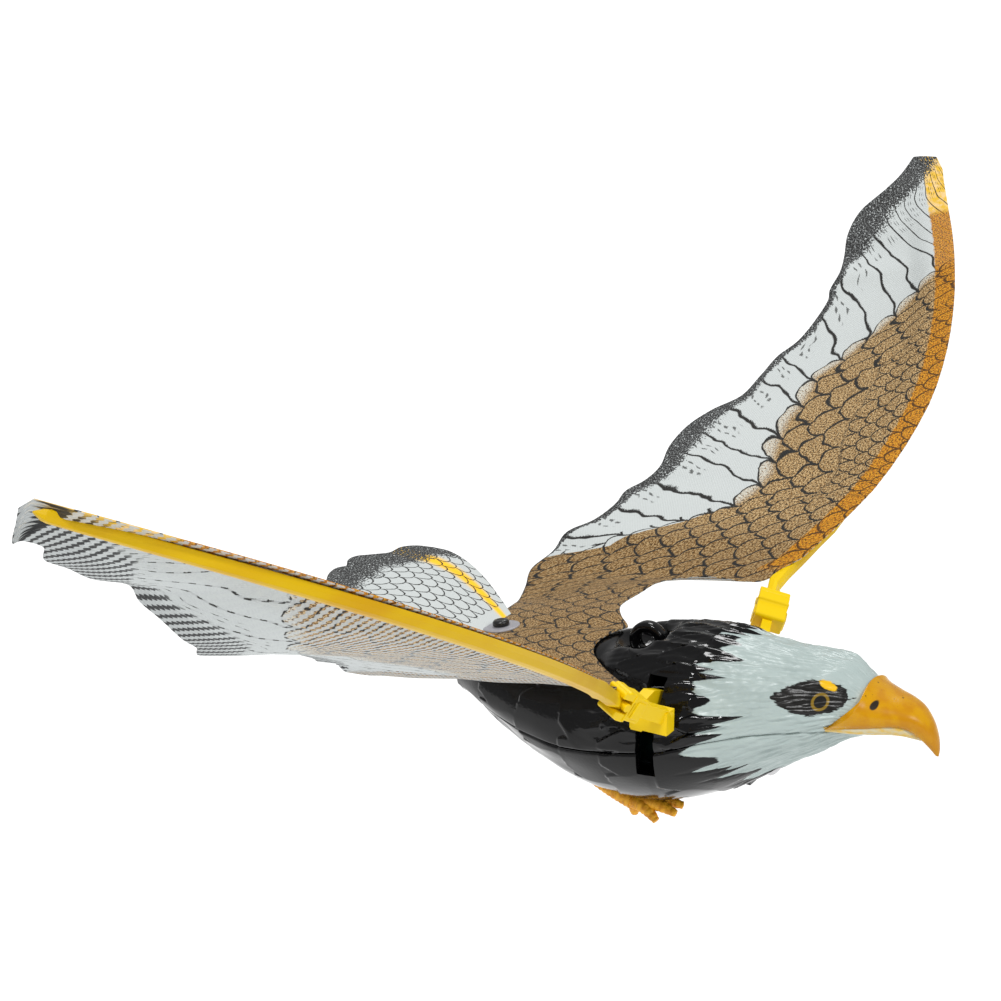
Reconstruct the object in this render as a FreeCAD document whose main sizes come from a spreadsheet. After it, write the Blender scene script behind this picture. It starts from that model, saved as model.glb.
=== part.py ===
"""Motion wing decoy: a hanging, battery-driven eagle whose film wings flap.

Millimetres. The origin is the centre of the hanging lug's hole, +X points to the
beak, +Y to the bird's left and +Z up. The wings are drawn raised, as they stop.
"""
import FreeCAD, Part
import math
import os
from FreeCAD import Placement, Rotation, Vector

X_AXIS = Vector(1, 0, 0)
Z_AXIS = Vector(0, 0, 1)

DIMENSIONS = {
    "shell_wall": 1.6,
    "lug_radius": 4.4,
    "lug_hole_radius": 2.1,
    "lug_width": 3.0,
    "slot_front": 12.4,
    "slot_rear": 8.4,
    "slot_top": -0.6,
    "slot_bottom": -21.6,
    "arm_front": 11.7,
    "arm_thickness": 2.6,
    "pivot_side": 6.0,
    "pivot_height": -11.9,
    "pivot_radius": 1.0,
    "hub_radius": 3.0,
    "arm_angle": 30.0,
    "drive_pin_arm": 6.0,
    "drive_pin_radius": 1.0,
    "yoke_rear": 12.3,
    "yoke_thickness": 1.6,
    "crank_radius": 2.28,
    "crank_pin_radius": 0.9,
    "gear_module": 0.5,
    "crank_teeth": 26,
    "pinion_teeth": 10,
    "wheel_teeth": 30,
    "crank_height": -5.9,
    "compound_height": -14.9,
    "motor_height": -4.9,
    "gear_plane": 14.9,
    "gear_width": 2.0,
    "wheel_plane": 18.9,
    "wheel_width": 1.4,
    "plate_thickness": 1.2,
    "rear_plate_x": 6.9,
    "mid_plate_x": 17.3,
    "motor_plate_x": 20.7,
    "motor_radius": 7.5,
    "motor_length": 18.0,
    "motor_cap_length": 2.4,
    "shaft_radius": 0.75,
    "running_gap": 0.05,
    "cell_radius": 5.1,
    "cell_length": 43.5,
    "cell_side": 5.6,
    "cell_height": -21.7,
    "cell_front": 14.6,
    "cover_half_width": 11.4,
    "cover_rear": -32.6,
    "cover_front": 15.4,
    "cover_gap": 0.35,
    "bead_radius": 1.0,
    "bead_length": 7.0,
    "clip_length": 16.0,
    "clip_width": 5.2,
    "clip_thickness": 6.8,
    "tongue_width": 3.2,
    "tongue_thickness": 2.2,
    "fit_gap": 0.15,
    "spar_root_width": 3.2,
    "spar_root_thickness": 2.6,
    "spar_tip_width": 1.8,
    "spar_tip_thickness": 1.4,
    "film_thickness": 0.5,
    "peg_x": -37.7,
    "peg_stem_radius": 1.1,
    "peg_head_radius": 1.8,
    "washer_radius": 4.3,
    "screw_radius": 1.1,
    "screw_head_radius": 2.1,
    "screw_seat": 0.2,
    "switch_x": 25.3,
    "switch_travel": 2.0,
    "leg_side": 8.0,
}

# Body stations from tail to beak: x, top, bottom and half width.
STATIONS = [
    (-49.2, -15.6, -19.6, 2.4),
    (-45.7, -10.4, -21.7, 7.0),
    (-37.7, -6.4, -25.6, 12.0),
    (-29.7, -4.4, -29.6, 15.5),
    (-21.7, -2.7, -33.0, 18.3),
    (-13.7, -1.2, -35.5, 20.3),
    (-5.7, 0.4, -36.3, 21.5),
    (2.3, 2.0, -35.2, 22.0),
    (10.3, 3.5, -33.1, 21.6),
    (18.3, 4.5, -30.2, 20.0),
    (26.3, 5.0, -26.2, 17.6),
    (34.3, 5.4, -20.8, 15.0),
    (42.3, 5.3, -15.8, 12.3),
    (48.3, 3.9, -11.4, 9.5),
    (51.8, 1.6, -9.6, 7.4),
]
# Beak stations: x, ridge, underside and half width.
BEAK = [
    (49.4, 0.8, -8.5, 5.6),
    (52.4, 1.0, -8.7, 5.7),
    (57.6, 1.8, -8.9, 4.8),
    (62.0, -0.4, -9.1, 3.2),
    (64.8, -4.2, -10.0, 1.8),
    (66.3, -8.6, -10.6, 0.7),
]
# Seam between the shells, seen from the side.
SEAM = [
    (-56.0, -18.2), (-33.0, -19.9), (-13.7, -20.7), (1.3, -18.3),
    (12.3, -15.8), (23.3, -12.1), (35.3, -8.9), (44.3, -8.0), (72.0, -7.6),
]
# Mouth of the left clip, where the spar enters it, and the clip's inner end.
CLIP_MOUTH = Vector(12.3, 40.0, 3.6)
CLIP_INNER = Vector(16.0, 25.6, -4.4)
# Half axes of the ellipsoid that cuts the valley for the lug.
SADDLE = (8.6, 20.5, 8.6)
# Lean of the tail peg, and the height of the film's top face on its axis.
PEG_TILT = 9.5
PEG_SEAT = -1.25
# Rear edge of the wing film, from the wing tip to its inner end.
FILM_REAR = [
    (-6.5, 177.5, 77.6), (-14.7, 170.0, 74.0), (-20.4, 158.0, 63.4), (-19.4, 144.0, 54.0),
    (-20.0, 132.0, 43.4), (-26.0, 114.0, 32.6), (-32.0, 96.0, 24.6), (-36.5, 82.0, 18.2),
    (-40.0, 68.0, 10.8), (-44.6, 56.0, 4.6), (-50.4, 45.0, -1.8), (-51.6, 38.0, -5.4),
    (-50.6, 30.0, -8.4),
]
# Front edge of the film where it leaves the spar and turns in to the neck.
FILM_NECK = [(8.6, 36.0, 6.2), (3.6, 30.0, 5.6)]

doc = FreeCAD.newDocument("motion_wing_decoy")
sheet = doc.addObject("Spreadsheet::Sheet", "dims")
nodes = []


def fill_sheet():
    for row, (alias, value) in enumerate(DIMENSIONS.items(), start=1):
        sheet.set(f"A{row}", alias)
        sheet.set(f"B{row}", str(value))
        sheet.setAlias(f"B{row}", alias)
    doc.recompute()


def dim(alias):
    return float(getattr(sheet, alias))


def keep(obj, label):
    obj.Label = label
    nodes.append(obj)
    return obj


def feature(name, shape, place=None):
    obj = doc.addObject("Part::Feature", name)
    obj.Shape = shape
    obj.Placement = place or Placement()
    return obj


def cylinder(name, radius, length, place):
    obj = doc.addObject("Part::Cylinder", name)
    obj.setExpression("Radius", radius)
    obj.setExpression("Height", length)
    obj.Placement = place
    return obj


def box(name, sizes, corner, rotation=None):
    obj = doc.addObject("Part::Box", name)
    for prop, size in zip(("Length", "Width", "Height"), sizes):
        obj.setExpression(prop, size)
    obj.Placement = Placement(corner, rotation or Rotation())
    return obj


def cut(name, base, tool):
    obj = doc.addObject("Part::Cut", name)
    obj.Base = base
    obj.Tool = tool
    return obj


def fuse(name, shapes):
    obj = doc.addObject("Part::MultiFuse", name)
    obj.Shapes = shapes
    return obj


def common(name, first, second):
    obj = doc.addObject("Part::MultiCommon", name)
    obj.Shapes = [first, second]
    return obj


def along_x(x, y, z):
    """Placement that turns a part drawn along Z to lie along X."""
    return Placement(Vector(x, y, z), Rotation(Vector(0, 1, 0), 90))


def side_word(side):
    return "left" if side > 0 else "right"


def mirrored(point, side):
    return Vector(point.x, side * point.y, point.z)


# Shells


def oval(x, top, bottom, half_width):
    centre = 0.5 * (top + bottom)
    half_height = 0.5 * (top - bottom)
    count = 16
    points = []
    for i in range(count):
        a = 2 * math.pi * i / count
        points.append(Vector(x, half_width * math.sin(a), centre + half_height * math.cos(a)))
    curve = Part.BSplineCurve()
    curve.interpolate(points, PeriodicFlag=True)
    return Part.Wire([curve.toShape()])


def body_loft(stations, inset):
    return Part.makeLoft([oval(x, top - inset, bottom + inset, half - inset)
                          for x, top, bottom, half in stations], True)


def beak_loft():
    return Part.makeLoft([oval(*station) for station in BEAK], True)


def above_seam():
    points = [Vector(x, -60, z) for x, z in SEAM]
    edge = Part.BSplineCurve()
    edge.interpolate(points)
    top = 60.0
    ends = [points[-1], Vector(points[-1].x, -60, top), Vector(points[0].x, -60, top), points[0]]
    wire = Part.Wire([edge.toShape()] + [Part.makeLine(a, b) for a, b in zip(ends, ends[1:])])
    return Part.Face(wire).extrude(Vector(0, 120, 0))


def saddle(growth):
    """Smooth valley across the back, in which the hanging lug stands."""
    dish = Part.makeSphere(1.0)
    matrix = FreeCAD.Matrix()
    matrix.scale(*[half_axis + growth for half_axis in SADDLE])
    dish = dish.transformGeometry(matrix)
    dish.translate(Vector(0, 0, 4.6))
    return dish


def lug():
    length = dim("lug_width")
    radius = dim("lug_radius")
    start = Vector(0, -0.5 * length, 0)
    ring = Part.makeCylinder(radius, length, start, Vector(0, 1, 0))
    foot = Part.makeBox(2 * radius, length, 4.6, Vector(-radius, -0.5 * length, -4.6))
    hole = Part.makeCylinder(dim("lug_hole_radius"), length, start, Vector(0, 1, 0))
    return ring.fuse(foot).cut(hole)


def wing_slots():
    front, rear = dim("slot_front"), dim("slot_rear")
    top, bottom = dim("slot_top"), dim("slot_bottom")
    return Part.makeBox(front - rear, 60, top - bottom, Vector(rear, -30, bottom))


def cover_block(gap):
    half = dim("cover_half_width") + gap
    rear, front = dim("cover_rear") - gap, dim("cover_front") + gap
    return Part.makeBox(front - rear, 2 * half, 20, Vector(rear, -half, -41))


def make_shells():
    outer = body_loft(STATIONS, 0.0).fuse(beak_loft())
    wall = dim("shell_wall")
    hollow = body_loft(STATIONS[1:-1], wall).cut(saddle(wall))
    upper_zone = above_seam()
    slots = wing_slots()
    peg_hole = Part.makeCylinder(dim("peg_stem_radius") + dim("running_gap"), 9, *peg_line(-9.0))
    case = outer.cut(saddle(0.0)).cut(peg_hole)
    upper = case.common(upper_zone).cut(hollow).cut(slots).fuse(lug())
    split_gap = 0.15
    lower_zone = upper_zone.copy()
    lower_zone.translate(Vector(0, 0, -split_gap))
    lower = case.cut(lower_zone).cut(hollow).cut(slots).cut(cover_block(dim("cover_gap")))
    switch_half = 4.2
    window_corner = Vector(dim("switch_x") - 1.8, -switch_half, -36)
    window = Part.makeBox(3.6, 2 * switch_half, 16, window_corner)
    lower = lower.cut(window)
    for x, y in SHELL_SCREWS:
        seat = belly_height(x, y) - dim("screw_seat")
        lower = lower.cut(Part.makeCylinder(dim("screw_radius") + 0.15, 30, Vector(x, y, -45)))
        lower = lower.cut(Part.makeCylinder(dim("screw_head_radius") + 0.15, 5, Vector(x, y, seat - 5)))
    lower = lower.cut(hinge_bead(0.3))
    keep(feature("upper_shell_body", upper), "upper_shell")
    keep(feature("lower_shell_body", lower), "lower_shell")
    return case.common(cover_block(0.0)).cut(hollow).fuse(hinge_bead(0.0))


def hinge_bead(growth):
    """Round bead at the rear edge of the battery cover, about which it opens."""
    length = dim("bead_length") + 2 * growth
    start = Vector(dim("cover_rear"), -0.5 * length, belly_height(dim("cover_rear"), 0))
    return Part.makeCylinder(dim("bead_radius") + growth, length, start, Vector(0, 1, 0))


SHELL_SCREWS = [(-40.5, 0.0), (33.0, 5.0), (33.0, -5.0)]


def belly_height(x, y):
    """Height of the underside of the body at a place on it."""
    for (x0, t0, b0, w0), (x1, t1, b1, w1) in zip(STATIONS, STATIONS[1:]):
        if x0 <= x <= x1:
            f = (x - x0) / (x1 - x0)
            top, bottom, half = t0 + f * (t1 - t0), b0 + f * (b1 - b0), w0 + f * (w1 - w0)
            return 0.5 * (top + bottom) - 0.5 * (top - bottom) * math.sqrt(1 - (y / half) ** 2)
    raise ValueError("x is outside the body")


def make_cover(cover):
    x = dim("cover_front") - 4.0
    z = belly_height(x, 0)
    hole = Part.makeCylinder(dim("screw_radius") + 0.12, 20, Vector(x, 0, z - 5))
    sink = Part.makeCylinder(dim("screw_head_radius") + 0.15, 5, Vector(x, 0, z - 4.22))
    keep(feature("battery_cover_body", cover.cut(hole).cut(sink)), "battery_cover")
    screw(x, 0, z + 0.7, 4.0, "battery_cover_screw")


def screw(x, y, seat, length, label):
    head = cylinder(label + "_head", "dims.screw_head_radius", "1.0",
                    Placement(Vector(x, y, seat - 1.0), Rotation()))
    stem = cylinder(label + "_stem", "dims.screw_radius", f"{length}",
                    Placement(Vector(x, y, seat), Rotation()))
    cross = box(label + "_cross", ("2.6", "0.6", "0.6"), Vector(x - 1.3, y - 0.3, seat - 1.0))
    return keep(cut(label + "_cut", fuse(label + "_solid", [head, stem]), cross), label)


def make_shell_screws():
    for i, (x, y) in enumerate(SHELL_SCREWS, start=1):
        screw(x, y, belly_height(x, y) - dim("screw_seat"), 7.0, f"shell_screw_{i}")


# Legs


def make_leg(side):
    """Vinyl leg lying along the belly, with three front toes and a hind toe."""
    y = side * dim("leg_side")
    hip = Vector(-9.6, y, belly_height(-9.6, y) - 0.9)
    ankle = Vector(0.6, y, -37.2)
    tips = [Vector(1.2, y - side * 0.6, -40.3), Vector(7.9, y + side * 1.8, -39.0),
            Vector(11.8, y, -36.6), Vector(12.2, y - side * 3.4, -35.9)]
    shape = taper(hip, ankle, 1.25, 1.35)
    shape = shape.fuse(Part.makeSphere(1.75, ankle))
    for tip in tips:
        shape = shape.fuse(taper(ankle, tip, 1.3, 0.45))
    keep(feature(f"leg_{side_word(side)}_body", shape.removeSplitter()), f"leg_{side_word(side)}")


def taper(start, end, start_radius, end_radius):
    run = end - start
    return Part.makeCone(start_radius, end_radius, run.Length, start, run)


# Gears


def toothed_wheel(name, teeth_alias, width_alias, place):
    """Spur gear drawn flat: a root disc, one tooth, and the tooth repeated."""
    body = doc.addObject("PartDesign::Body", name)
    plane = [f for f in body.Origin.OriginFeatures if f.Role == "XY_Plane"][0]
    teeth = int(dim(teeth_alias))
    module = dim("gear_module")
    pitch = 0.5 * module * teeth
    root = pitch - 1.2 * module
    tip = pitch + 0.9 * module
    disc = body.newObject("Sketcher::SketchObject", name + "_disc")
    disc.AttachmentSupport = [(plane, "")]
    disc.MapMode = "FlatFace"
    disc.addGeometry(Part.Circle(Vector(), Z_AXIS, root), False)
    pad = body.newObject("PartDesign::Pad", name + "_pad")
    pad.Profile = disc
    pad.setExpression("Length", "dims." + width_alias)
    tooth = body.newObject("Sketcher::SketchObject", name + "_tooth")
    tooth.AttachmentSupport = [(plane, "")]
    tooth.MapMode = "FlatFace"
    half_pitch_angle = math.pi / teeth
    base_half = pitch * half_pitch_angle * 0.5 + 0.36 * module
    tip_half = pitch * half_pitch_angle * 0.5 - 0.44 * module
    inner = root - 0.25 * module
    corners = [Vector(inner, -base_half), Vector(tip, -tip_half),
               Vector(tip, tip_half), Vector(inner, base_half)]
    for a, b in zip(corners, corners[1:] + corners[:1]):
        tooth.addGeometry(Part.LineSegment(a, b), False)
    pad_tooth = body.newObject("PartDesign::Pad", name + "_tooth_pad")
    pad_tooth.Profile = tooth
    pad_tooth.setExpression("Length", "dims." + width_alias)
    doc.recompute()
    pattern = body.newObject("PartDesign::PolarPattern", name + "_teeth")
    pattern.Originals = [pad_tooth]
    pattern.Axis = (disc, ["N_Axis"])
    pattern.Angle = 360
    pattern.Occurrences = teeth
    body.Tip = pattern
    body.Placement = place
    doc.recompute()
    return body


def gear_place(x, height, phase_deg):
    return Placement(Vector(x, 0, height), Rotation(Vector(0, 1, 0), 90) * Rotation(Z_AXIS, phase_deg))


def make_gears():
    """Pinion on the motor, compound gear and crank gear, one above the other."""
    gear_x, wheel_x = dim("gear_plane"), dim("wheel_plane")
    shaft_gap = "dims.shaft_radius + dims.running_gap"
    crank = toothed_wheel("crank_wheel", "crank_teeth", "gear_width",
                          gear_place(gear_x, dim("crank_height"), 0.0))
    pin = cylinder("crank_pin", "dims.crank_pin_radius", "1.1",
                   along_x(gear_x - 0.7, 0, dim("crank_height") + dim("crank_radius")))
    bore = cylinder("crank_bore", shaft_gap, "6", along_x(gear_x, 0, dim("crank_height")))
    keep(cut("crank_gear_cut", fuse("crank_gear_solid", [crank, pin]), bore), "crank_gear")

    half_pinion = 180.0 / dim("pinion_teeth")
    small = toothed_wheel("small_wheel", "pinion_teeth", "gear_width",
                          gear_place(gear_x, dim("compound_height"), half_pinion))
    big = toothed_wheel("big_wheel", "wheel_teeth", "wheel_width",
                        gear_place(wheel_x, dim("compound_height"), 0.0))
    hub = cylinder("compound_hub", "1.5", "dims.wheel_plane - dims.gear_plane",
                   along_x(gear_x, 0, dim("compound_height")))
    bore2 = cylinder("compound_bore", shaft_gap, "8", along_x(gear_x - 1, 0, dim("compound_height")))
    keep(cut("compound_cut", fuse("compound_solid", [small, big, hub]), bore2), "compound_gear")

    pinion = toothed_wheel("motor_wheel", "pinion_teeth", "wheel_width",
                           gear_place(wheel_x, dim("motor_height"), half_pinion))
    seat = along_x(wheel_x - 1, 0, dim("motor_height"))
    hole = cylinder("motor_wheel_bore", "dims.shaft_radius", "4", seat)
    keep(cut("motor_pinion_cut", pinion, hole), "motor_pinion")


def make_shafts():
    keep(cylinder("crank_axle", "dims.shaft_radius", "3.4",
                  along_x(dim("gear_plane") + 0.2, 0, dim("crank_height"))), "crank_shaft")
    keep(cylinder("compound_axle", "dims.shaft_radius", "7.6",
                  along_x(dim("gear_plane") - 0.7, 0, dim("compound_height"))), "compound_shaft")
    keep(cylinder("rotor_axle", "dims.shaft_radius", "dims.motor_length + 2.6",
                  along_x(dim("wheel_plane") - 0.1, 0, dim("motor_height"))), "motor_shaft")
    for side in (1, -1):
        keep(cylinder(f"pivot_{side_word(side)}", "dims.pivot_radius",
                      "dims.mid_plate_x + dims.plate_thickness - dims.rear_plate_x",
                      along_x(dim("rear_plate_x"), side * dim("pivot_side"), dim("pivot_height"))),
             f"arm_pivot_pin_{side_word(side)}")


# Gearbox plates and motor


def plate(label, x, half_width, low, high, holes):
    sizes = ("dims.plate_thickness", f"{2 * half_width}", f"{high - low}")
    body = box(label + "_blank", sizes, Vector(x, -half_width, low))
    tools = [cylinder(f"{label}_hole_{i}", r, "4", along_x(x - 1, y, z))
             for i, (y, z, r) in enumerate(holes)]
    return keep(cut(label + "_cut", body, fuse(label + "_holes", tools)), label)


def make_plates():
    side, low = dim("pivot_side"), dim("pivot_height")
    pins = [(side, low, "dims.pivot_radius"), (-side, low, "dims.pivot_radius")]
    plate("gearbox_rear_plate", dim("rear_plate_x"), 11.0, -16.2, -8.4, pins)
    plate("gearbox_mid_plate", dim("mid_plate_x"), 8.8, -16.2, 0.4,
          pins + [(0, dim("crank_height"), "dims.shaft_radius"), (0, dim("compound_height"), "1.9")])
    plate("motor_plate", dim("motor_plate_x"), 8.0, -17.2, 1.0,
          [(0, dim("compound_height"), "dims.shaft_radius"), (0, dim("motor_height"), "1.6")])


def make_motor():
    x = dim("motor_plate_x") + dim("plate_thickness")
    z = dim("motor_height")
    round_can = cylinder("can_round", "dims.motor_radius", "dims.motor_length", along_x(x, 0, z))
    flats = box("can_flats", ("dims.motor_length", "2 * dims.motor_radius", "12"),
                Vector(x, -dim("motor_radius"), z - 6))
    shaft_hole = cylinder("can_bore", "dims.shaft_radius + dims.running_gap", "dims.motor_length",
                          along_x(x, 0, z))
    keep(cut("motor_can_cut", common("can_solid", round_can, flats), shaft_hole), "motor_can")
    cap_x = x + dim("motor_length")
    cap = cylinder("cap_round", "dims.motor_radius - 0.6", "dims.motor_cap_length", along_x(cap_x, 0, z))
    trim = box("cap_flats", ("dims.motor_cap_length", "2 * dims.motor_radius", "10.8"),
               Vector(cap_x, -dim("motor_radius"), z - 5.4))
    recess = cylinder("cap_recess", "dims.shaft_radius + 0.2", "1.0", along_x(cap_x, 0, z))
    keep(cut("motor_cap_cut", common("cap_solid", cap, trim), recess), "motor_end_cap")


# Wing arms, yoke, clips and spars


def clip_axes(side):
    """Length, width and thickness directions of a wing clip."""
    along = mirrored(CLIP_MOUTH - CLIP_INNER, side).normalize()
    upright = (Z_AXIS - along * Z_AXIS.dot(along)).normalize()
    ahead = (X_AXIS - along * X_AXIS.dot(along)).normalize()
    lean = math.radians(16.8)
    width = upright * math.cos(lean) + ahead * math.sin(lean)
    return along, width, along.cross(width)


def clip_rotation(side):
    along, width, across = clip_axes(side)
    return Rotation(along, width, across, "XYZ")


def clip_box(side, start, length, width, thickness):
    """Box centred on the clip's axis, from start millimetres inside the mouth."""
    mouth = mirrored(CLIP_MOUTH, side)
    along, wide, across = clip_axes(side)
    corner = mouth + along * start - wide * (0.5 * width) - across * (0.5 * thickness)
    shape = Part.makeBox(length, width, thickness)
    shape.Placement = Placement(corner, clip_rotation(side))
    return shape


def make_clip(side):
    length, gap = dim("clip_length"), dim("fit_gap")
    block = clip_box(side, -length, length, dim("clip_width"), dim("clip_thickness"))
    step = clip_box(side, -length, 6.0, dim("clip_width") + 1.6, dim("clip_thickness") - 1.6)
    wide, thick = dim("tongue_width") + 2 * gap, dim("tongue_thickness") + 2 * gap
    inner = clip_box(side, -length - 1, 7.2, wide, thick)
    outer = clip_box(side, -7.2, 9.0, wide, thick)
    shape = block.fuse(step).cut(inner).cut(outer).removeSplitter()
    keep(feature(f"clip_{side_word(side)}_body", shape), f"clip_{side_word(side)}")


def make_arm(side):
    """Lever plate on its pivot pin, with the drive pin and the clip's tongue."""
    y0, z0 = dim("pivot_side"), dim("pivot_height")
    front, thick = dim("arm_front"), dim("arm_thickness")
    angle = math.radians(dim("arm_angle"))
    outline = [(-1.0, -2.8), (9.5, 1.0), (15.2, 3.6), (19.6, 2.6),
               (20.2, 8.8), (14.0, 9.8), (9.0, 8.0), (-1.5, 2.8)]
    corners = [Vector(front - thick, side * (y0 + reach), z0 + rise) for reach, rise in outline]
    lever = Part.Face(Part.makePolygon(corners + corners[:1])).extrude(Vector(thick, 0, 0))
    pivot = Vector(front - thick, side * y0, z0)
    hub = Part.makeCylinder(dim("hub_radius"), thick, pivot, X_AXIS)
    drive = Vector(front - 0.5, side * (y0 + dim("drive_pin_arm") * math.cos(angle)),
                   z0 + dim("drive_pin_arm") * math.sin(angle))
    pin = Part.makeCylinder(dim("drive_pin_radius"), 2.9, drive, X_AXIS)
    knee_width, knee_height = 3.4, 5.0
    knee = Part.makeBox(8.6, knee_width, knee_height)
    knee.translate(Vector(front - thick, side * (y0 + 18.4) - 0.5 * knee_width, z0 + 3.2))
    tongue = clip_box(side, -dim("clip_length") - 3.0, 9.4, dim("tongue_width"), dim("tongue_thickness"))
    bore = Part.makeCylinder(dim("pivot_radius") + dim("running_gap"), thick + 2, pivot - X_AXIS, X_AXIS)
    shape = lever.fuse([hub, pin, knee, tongue]).cut(bore).removeSplitter()
    keep(feature(f"wing_arm_{side_word(side)}_body", shape), f"wing_arm_{side_word(side)}")


def make_yoke():
    """Plate that the crank lifts and lowers, with a slot for each arm's pin."""
    x = dim("yoke_rear")
    thick = "dims.yoke_thickness"
    crank_slot = dim("crank_height") + dim("crank_radius")
    arm_slot = dim("pivot_height") + dim("drive_pin_arm") * math.sin(math.radians(dim("arm_angle")))
    bar = box("yoke_bar", (thick, "20", "4.4"), Vector(x, -10, crank_slot - 2.2))
    parts = [bar]
    slots = [box("yoke_crank_slot", ("6", "7.6", "2.1"), Vector(x - 2, -3.8, crank_slot - 1.05))]
    for side in (1, -1):
        word = side_word(side)
        edge = 9.4 if side > 0 else -14.0
        parts.append(box(f"yoke_leg_{word}", (thick, "4.6", "7.0"), Vector(x, edge, arm_slot - 2.5)))
        edge = 9.95 if side > 0 else -13.25
        slots.append(box(f"yoke_slot_{word}", ("6", "3.3", "2.36"), Vector(x - 2, edge, arm_slot - 1.18)))
    keep(cut("yoke_cut", fuse("yoke_solid", parts), fuse("yoke_slots", slots)), "drive_yoke")


def spar_point(s):
    """Centre line of the left spar, s from 0 at the clip to 1 at the tip."""
    x = 83.41 * s - 183.59 * s ** 2 + 84.51 * s ** 3
    y = 205.36 * s - 63.15 * s ** 2 - 3.62 * s ** 3
    z = 117.15 * s - 45.1 * s ** 2 + 3.15 * s ** 3
    return CLIP_MOUTH + Vector(x, y, z)


def spar_half(size, s):
    """Half the spar's width or thickness, which taper towards the tip."""
    root, tip = dim("spar_root_" + size), dim("spar_tip_" + size)
    return 0.5 * (root + s * (tip - root))


def spar_section(side, s):
    centre = mirrored(spar_point(s), side)
    along = (mirrored(spar_point(s + 0.01), side) - mirrored(spar_point(s - 0.01), side)).normalize()
    up = (Z_AXIS - along * Z_AXIS.dot(along)).normalize()
    across = along.cross(up)
    width = spar_half("width", s)
    thick = spar_half("thickness", s)
    corners = [centre + up * (a * width) + across * (b * thick)
               for a, b in ((1, 1), (1, -1), (-1, -1), (-1, 1))]
    return Part.makePolygon(corners + corners[:1])


def make_spar(side):
    stations = [0.005, 0.07, 0.14, 0.28, 0.42, 0.56, 0.70, 0.84, 1.0]
    blade = Part.makeLoft([spar_section(side, s) for s in stations], True, True)
    tongue = clip_box(side, -7.0, 8.4, dim("tongue_width") - 0.2, dim("tongue_thickness"))
    shape = blade.fuse(tongue).removeSplitter()
    keep(feature(f"spar_{side_word(side)}_body", shape), f"spar_{side_word(side)}")


# Film: wings, centre and tail


def film_strip(sections):
    """Thin solid through chord lines, each given by its front and rear point."""
    half = Vector(0, 0, 0.5 * dim("film_thickness"))
    wires = []
    for front, rear in sections:
        corners = [front + half, rear + half, rear - half, front - half]
        wires.append(Part.makePolygon(corners + corners[:1]))
    return Part.makeLoft(wires, True, True)


def spar_at_side(y):
    low, high = 0.0, 1.0
    for _ in range(40):
        mid = 0.5 * (low + high)
        if spar_point(mid).y < y:
            low = mid
        else:
            high = mid
    return 0.5 * (low + high)


def film_front(y):
    s = spar_at_side(y)
    lift = spar_half("width", s) + 0.5 * dim("film_thickness") + 1.0
    return spar_point(s) + Vector(0, 0, lift)


def make_wing_film(side):
    sections = []
    for x, y, z in FILM_REAR:
        if y > CLIP_MOUTH.y + 4:
            front = film_front(y)
        else:
            front = Vector(*FILM_NECK[0 if y > FILM_NECK[0][1] else 1])
        sections.append((mirrored(front, side), mirrored(Vector(x, y, z), side)))
    word = side_word(side)
    keep(feature(f"wing_film_{word}_body", film_strip(sections)), f"wing_film_{word}")


def make_centre_film():
    left = [(Vector(1.6, 27.0, 6.6), Vector(-49.0, 27.0, -8.8)),
            (Vector(0.6, 15.0, 7.0), Vector(-42.5, 15.0, -3.4))]
    middle = [(Vector(-6.5, 0.0, 3.6), Vector(-41.5, 0.0, -2.2))]
    right = [(mirrored(a, -1), mirrored(b, -1)) for a, b in reversed(left)]
    strip = film_strip(left + middle + right)
    hole = Part.makeCylinder(dim("peg_stem_radius") + 0.15, 12, *peg_line(-6.0))
    keep(feature("film_centre_body", strip.cut(hole)), "film_centre")


def make_tail_film():
    outline = [(-35.8, 4.5), (-39.0, 9.0), (-47.5, 12.5), (-62.0, 21.5), (-68.0, 24.0),
               (-78.0, 20.0), (-79.5, 12.0), (-83.0, 7.0), (-80.5, 0.0)]
    points = outline + [(x, -y) for x, y in reversed(outline[:-1])]
    tilt = Placement(Vector(dim("peg_x"), 0, -5.0), Rotation(Vector(0, 1, 0), 14.0))
    corners = [Vector(x - dim("peg_x"), y, 0) for x, y in points]
    sheet_face = Part.Face(Part.makePolygon(corners + corners[:1]))
    fan = sheet_face.extrude(Vector(0, 0, 0.4))
    fan.Placement = tilt
    fan = fan.cut(Part.makeCylinder(dim("peg_stem_radius") + 0.3, 12, *peg_line(-8.0)))
    keep(feature("tail_film_body", fan), "tail_film")


def peg_line(depth):
    """A point on the peg's axis, depth above the film, and the axis itself."""
    axis = Rotation(Vector(0, 1, 0), -PEG_TILT).multVec(Z_AXIS)
    return Vector(dim("peg_x"), 0, PEG_SEAT) + axis * depth, axis


def on_peg(depth):
    return Placement(peg_line(depth)[0], Rotation(Vector(0, 1, 0), -PEG_TILT))


def make_peg():
    washer = cylinder("washer_disc", "dims.washer_radius", "0.4", on_peg(0.1))
    hole = cylinder("washer_hole", "dims.peg_stem_radius + 0.1", "3", on_peg(-1.0))
    keep(cut("washer_cut", washer, hole), "peg_washer")
    stem = cylinder("peg_stem", "dims.peg_stem_radius", "6.6", on_peg(-6.0))
    head = cylinder("peg_head", "dims.peg_head_radius", "1.3", on_peg(0.55))
    keep(fuse("peg_solid", [stem, head]), "tail_peg")


# Battery bay and switch


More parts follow.
